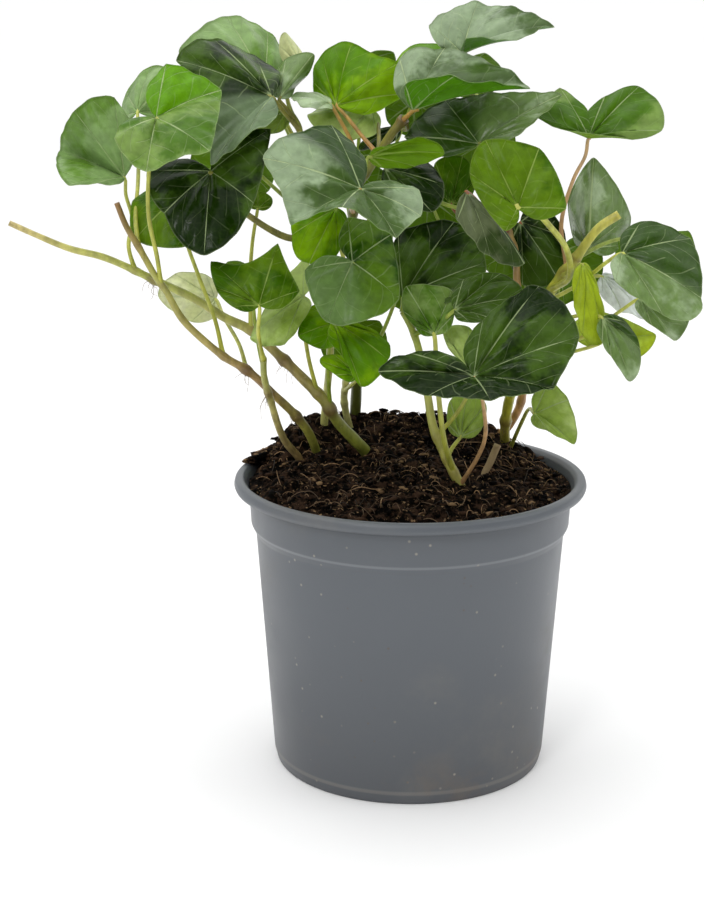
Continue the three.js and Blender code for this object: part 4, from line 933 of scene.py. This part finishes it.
# A young yellow-green stem that rises at the left behind the others. It carries the top left
# leaves.
route = [
    (-34, 34, 110), (-32, 22, 132), (-30, 12, 154), (-31, 4, 174), (-34, 0, 189), (-38, 0, 205),
    (-40, 0, 221), (-40, 0, 235), (-43, 0, 241),
]
leaves = [
    ("a4", "dark", "brown", [(-41, 0, 236), (-45, -6, 242)], (-49, -12, 248),
     [(-56, -33, 237), (-69, -29, 226), (-84, 2, 260), (-71, 6, 267), (-56, 9, 260)],
     [0.08, -0.15, 0.08, 0.1], {"second": (-0.5, 1.5)}),
    ("a6", "soft", "yellow", [(-39, 0, 229), (-46, 10, 238), (-51, 14, 247)], (-54, 16, 250),
     [(-74, 2, 251), (-84, 16, 263), (-69, 34, 274), (-54, 38, 268), (-46, 34, 257)],
     [0.1, 0.05, 0.06, 0.1]),
    ("a8", "mist", "brown", [(-42, 0, 239), (-45, -4, 244)], (-47, -6, 247),
     [(-50, 5, 253), (-45, 6, 260), (-35, 2, 262), (-37, 6, 255), (-42, 5, 250)]),
    ("a7", "wan", "yellow", [(-43, 0, 240), (-45, 8, 248), (-43, 10, 253)], (-40, 10, 257),
     [(-47, 15, 259), (-48, 15, 264), (-46, 13, 269), (-42, 17, 264), (-39, 15, 260)]),
    ("e35", "dark", "brown", [(-36, 0, 196), (-45, -4, 198), (-60, -14, 209), (-66, -22, 216)],
     (-69, -28, 224),
     [(-49, -18, 238), (-54, -34, 214), (-70, -46, 198), (-84, -38, 211), (-91, -28, 224)],
     [0.05, 0.15, 0.12, 0.1], {"stout": 1.6}),
    ("e40", "light", "green", [(-41, 0, 237), (-43, 4, 239)], (-45, 6, 242),
     [(-45, 2, 236), (-49, 1, 234), (-57, 4, 235), (-55, 8, 241), (-50, 9, 244)]),
    far_leaf("k6", [(-40, 0, 221), (-46, 16, 235), (-58, 34, 248)], (-67, 42, 252), (-75, 50, 236)),
    far_leaf("k7", [(-38, 0, 205), (-48, 10, 212), (-59, 18, 220)], (-65, 20, 223), (-70, 28, 203)),
]
shoot("upper_left_stem", route, (3.2, 2), [(206, 204, 124), (200, 202, 118), (150, 162, 72)], leaves)

# A short, pale, soft stem in the middle. Its own leaves, which grew towards the front, hide most
# of it.
route = [
    (-22, 32, 111), (-25, 18, 132), (-24, 4, 143), (-23, -8, 158), (-21, -16, 172), (-19, -22, 182),
]
leaves = [
    ("d29", "mid", "green", [(-19, -22, 182), (-19, -36, 190)], (-20, -46, 196),
     [(-22, -38, 210), (-7, -38, 204), (-4, -54, 185), (-28, -60, 178), (-36, -50, 194)],
     [0.12, 0.06, 0.2, 0.1], {"second": (2.5, 4.6)}),
    ("d33", "bright", "yellow", [(-24, 0, 147), (-20, -20, 158), (-21, -33, 168)], (-27, -38, 174),
     [(-18, -35, 173), (-9, -36, 168), (-8, -44, 162), (-17, -52, 154), (-23, -48, 164)]),
    ("d34", "bright", "yellow", [(-24, 8, 139), (-21, -16, 147), (-19, -30, 152)], (-19, -38, 155),
     [(-21, -40, 153), (-26, -40, 156), (-32, -38, 160), (-27, -34, 162), (-20, -34, 159)]),
    ("d28", "bright", "yellow", [(-21, -16, 172), (-23, -20, 189), (-26, -26, 204)], (-26, -30, 212),
     [(-22, -28, 206), (-26, -34, 196), (-35, -36, 194), (-41, -32, 203), (-39, -26, 214)],
     [0.1, 0.15, 0.15, 0.1]),
    far_leaf("k8", [(-24, 4, 143), (-12, 10, 158), (-5, 18, 174)], (-2, 23, 182), (-1, 31, 164)),
    far_leaf("k11", [(-25, 18, 132), (-24, 28, 144)], (-23, 34, 155), (-20, 40, 138)),
]
shoot("centre_stem", route, (3, 2), [(208, 204, 130), (210, 210, 136), (176, 180, 100)], leaves)

# A soft yellow-green stem at the front right of the middle. It bears the big dark leaf in front,
# whose pink stalk springs at the peat.
route = [
    (18, -20, 110), (16, -20, 115), (12, -20, 123), (8, -20, 133), (6, -20, 144), (4, -20, 155),
    (1, -19, 166), (-3, -18, 174),
]
leaves = [
    ("c26", "dark", "pink", [(18, -20, 111), (24, -28, 124), (26, -36, 133), (25, -48, 146),
     (23, -56, 155)], (21, -60, 160),
     [(24, -48, 177), (43, -44, 188), (56, -58, 173), (47, -68, 158), (26, -76, 156), (6, -72, 156),
     (-11, -63, 162), (0, -60, 168)], [0.12, 0.08, 0.02, 0.02, 0, 0.08, 0.1]),
    ("f46", "dark", "green", [(-3, -18, 174), (-3, -18, 177)], (-3, -18, 179),
     [(-5, -8, 200), (15, -4, 204), (26, -16, 191), (20, -26, 181), (6, -26, 177)]),
    ("f51", "light", "yellow", [(13, -20, 121), (15, -17, 124)], (18, -16, 128),
     [(13, -16, 133), (14, -14, 141), (20, -14, 143), (27, -14, 140), (26, -17, 132)]),
    ("f48", "leafy", "yellow", [(16, -20, 116), (12, -27, 129), (9, -31, 154)], (8, -30, 168),
     [(1, -30, 171), (-3, -28, 176), (-2, -24, 184), (14, -24, 183), (15, -28, 175)], None, {"stout": 1.3}),
    ("f49", "light", "yellow", [(9, -20, 129), (17, -22, 139), (21, -24, 148)], (21, -24, 153),
     [(18, -24, 156), (13, -22, 162), (11, -19, 167), (20, -18, 169), (24, -21, 162)]),
    ("f46b", "dark", "green", [(1, -19, 166), (8, -25, 170), (12, -29, 174)], (15, -31, 177),
     [(18, -26, 187), (31, -25, 189), (39, -33, 182), (30, -39, 175), (20, -38, 174)]),
]
shoot("front_stem", route, (3.8, 2.2), [(172, 166, 84), (182, 182, 88), (150, 164, 68)], leaves)

# A yellow-green stem that leans out to the right, woody at its foot. It was cut, and the cut has
# dried to tan.
route = [
    (37, 34, 105), (36, 26, 122), (37, 20, 133), (41, 10, 151), (46, 0, 170), (51, -4, 181),
    (58, -6, 191), (66, -6, 202), (73, -6, 207),
]
leaves = [
    ("b14", "leafy", "pink", [(55, -5, 188), (53, -3, 203), (57, -2, 219), (61, -1, 227)], (62, 0, 233),
     [(68, 8, 247), (80, 8, 250), (87, -6, 236), (77, -4, 233), (49, -5, 237), (43, -6, 241),
     (52, 8, 250)], [0.1, 0.16, 0.1, 0, 0, 0.05]),
    ("b16", "green", "yellow", [(50, -4, 179), (55, -20, 187), (53, -32, 198), (47, -42, 207),
     (40, -47, 214)], (35, -48, 215),
     [(31, -50, 207), (19, -44, 226), (24, -44, 237), (42, -42, 234), (51, -52, 215)],
     [0.22, 0.08, 0.05, 0.12], {"stout": 1.5}),
    ("c18", "mist", "green", [(58, -6, 191), (61, -3, 193)], (63, 0, 194),
     [(59, 18, 195), (57, 22, 208), (65, 12, 225), (80, 20, 203), (77, 18, 192)]),
    ("c19", "mist", "yellow", [(55, -5, 186), (62, -16, 187), (67, -26, 193)], (72, -30, 197),
     [(79, -22, 207), (96, -24, 201), (98, -40, 183), (85, -44, 178), (69, -40, 189)],
     [0.12, 0.08, 0.2, 0.05], {"second": (-0.5, 2.0)}),
    ("c23", "fresh", "yellow", [(54, -5, 184), (56, -14, 188), (58, -20, 191)], (59, -22, 192),
     [(63, -18, 188), (67, -18, 178), (67, -26, 165), (59, -30, 168), (56, -28, 182)]),
    ("c21", "silver", "yellow", [(48, -2, 174), (57, 4, 178), (65, 8, 182)], (69, 10, 182),
     [(74, 14, 182), (82, 14, 176), (87, 6, 167), (77, 4, 170), (69, 6, 175)]),
    ("c22", "mist", "yellow", [(43, 5, 160), (53, -8, 169), (62, -22, 174)], (66, -28, 174),
     [(75, -26, 172), (80, -28, 163), (76, -36, 153), (69, -36, 162), (66, -32, 166)],
     None, {"second": (-0.5, 0.9)}),
    ("c24", "fresh", "yellow", [(41, 8, 154), (50, 7, 153), (60, 6, 155)], (70, 8, 158),
     [(61, 10, 158), (60, 12, 165), (71, 14, 168), (90, 12, 160), (84, 6, 153)]),
    ("c20", "mist", "yellow", [(42, 7, 156), (61, 4, 160), (75, -4, 172)], (81, -8, 177),
     [(92, -2, 179), (99, -8, 172), (93, -18, 164), (85, -16, 169), (80, -12, 173)]),
    ("c25", "light", "yellow", [(38, 33, 108), (41, 16, 124), (43, -6, 136)], (44, -22, 138),
     [(49, -14, 148), (56, -18, 142), (58, -30, 129), (48, -30, 134), (43, -26, 135)],
     [0.1, 0.12, 0.05, 0.05]),
    far_leaf("k9", [(58, -6, 191), (72, 4, 196), (84, 10, 196)], (88, 12, 192), (93, 22, 175)),
]
shoot("right_stem", route, (4, 3.2), [(150, 134, 70), (184, 184, 58), (188, 192, 62), (198, 190, 90)],
      leaves, (30,))

# A firm stem right of the middle, salmon and reddish brown below and green above. It carries the
# topmost leaf.
route = [
    (30, 44, 108), (38, 34, 120), (42, 28, 131), (42, 16, 153), (40, 6, 170), (38, 0, 180),
    (37, -4, 192), (34, -6, 201), (30, -8, 212), (26, -10, 223),
]
leaves = [
    ("b15", "mist", "brown", [(27, -10, 221), (25, -11, 227)], (23, -12, 232),
     [(-3, -3, 233), (11, 2, 246), (52, -8, 249), (39, -18, 238), (30, -22, 233)],
     [0.1, 0.1, 0.05, 0.1], {"second": (-0.5, 1.3)}),
    ("b17", "plum", "red", [(34, -6, 201), (27, -20, 208), (21, -32, 216)], (18, -40, 219),
     [(21, -32, 215), (30, -32, 202), (38, -42, 195), (26, -46, 198), (15, -44, 210)]),
    ("b13", "grey", "brown", [(29, -9, 216), (24, 2, 229), (21, 5, 247), (18, 3, 257)], (17, 0, 262),
     [(5, 8, 272), (23, 14, 279), (49, -4, 272), (32, -11, 267), (18, -9, 268)], [0.12, 0.1, 0.05, 0.1]),
    ("f44", "green", "red", [(36, -5, 196), (24, 4, 198), (17, 9, 204)], (14, 10, 208),
     [(8, 10, 214), (8, 12, 223), (18, 14, 225), (23, 12, 217), (21, 10, 210)]),
    ("f47", "dark", "red", [(38, 0, 180), (37, 6, 193), (38, 8, 199)], (39, 8, 202),
     [(48, 12, 208), (56, 11, 196), (53, 2, 182), (40, 2, 180), (34, 5, 192)]),
    ("f45", "dark", "green", [(32, -7, 206), (13, -8, 210), (-1, -8, 217)], (-10, -8, 223),
     [(-5, -2, 227), (5, -2, 225), (11, -10, 217), (7, -16, 209), (-4, -14, 211)]),
    far_leaf("k3", [(34, -6, 201), (32, 10, 213), (29, 26, 224)], (27, 33, 228), (26, 39, 213)),
    far_leaf("k4", [(42, 22, 142), (28, 30, 166), (14, 30, 190)], (6, 27, 208), (5, 33, 190)),
    far_leaf("k5", [(42, 16, 153), (43, 28, 168), (43, 36, 182)], (42, 38, 188), (40, 46, 170)),
    far_leaf("k10", [(42, 28, 131), (50, 33, 150), (55, 31, 172)], (55, 30, 187), (58, 37, 166)),
    far_leaf("k12", [(26, -10, 223), (26, 12, 238), (21, 32, 250)], (19, 40, 253), (28, 50, 243)),
]
shoot("middle_stem", route, (3.6, 2.2), [(200, 158, 110), (210, 164, 116), (164, 126, 72),
      (120, 114, 54)], leaves)

# A dried stalk, cut off above the soil long ago: a hollow tan tube of dead fibres that is open at
# its top and still stands in the peat.
stub_path = smooth_path([(27, -6, 102), (27, -6, 111), (29, -5, 115), (32, -4, 122)])
stub_length = path_length(stub_path)[-1]
along = np.concatenate([np.linspace(0, stub_length, 20), stub_length + np.array((0.0, -0.1, -2, -4, -5))])
radius = np.concatenate([np.linspace(1.15, 1.4, 20), (1.2, 0.95, 0.9, 0.85, 0.5)])
stub = gathered("dried_cut_stub", [carried(stub_path, along, radius, 20, 0.06, 3)])
husk, tree, shader = new_material("dried_stalk")
body = mixed(tree, speckle(tree, 2.0, 4.0, 0.6, (1.0, 1.0, 0.25)), srgb(120, 96, 66), srgb(200, 176, 134))
tree.links.new(body, shader.inputs["Base Color"])
shader.inputs["Roughness"].default_value = 0.8
bump(tree, shader, speckle(tree, 1.2, 3.0, 0.6, (1.0, 1.0, 0.2)), 0.25)
stub.data.materials.append(husk)
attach(stub, "root")
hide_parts("cut_stub")
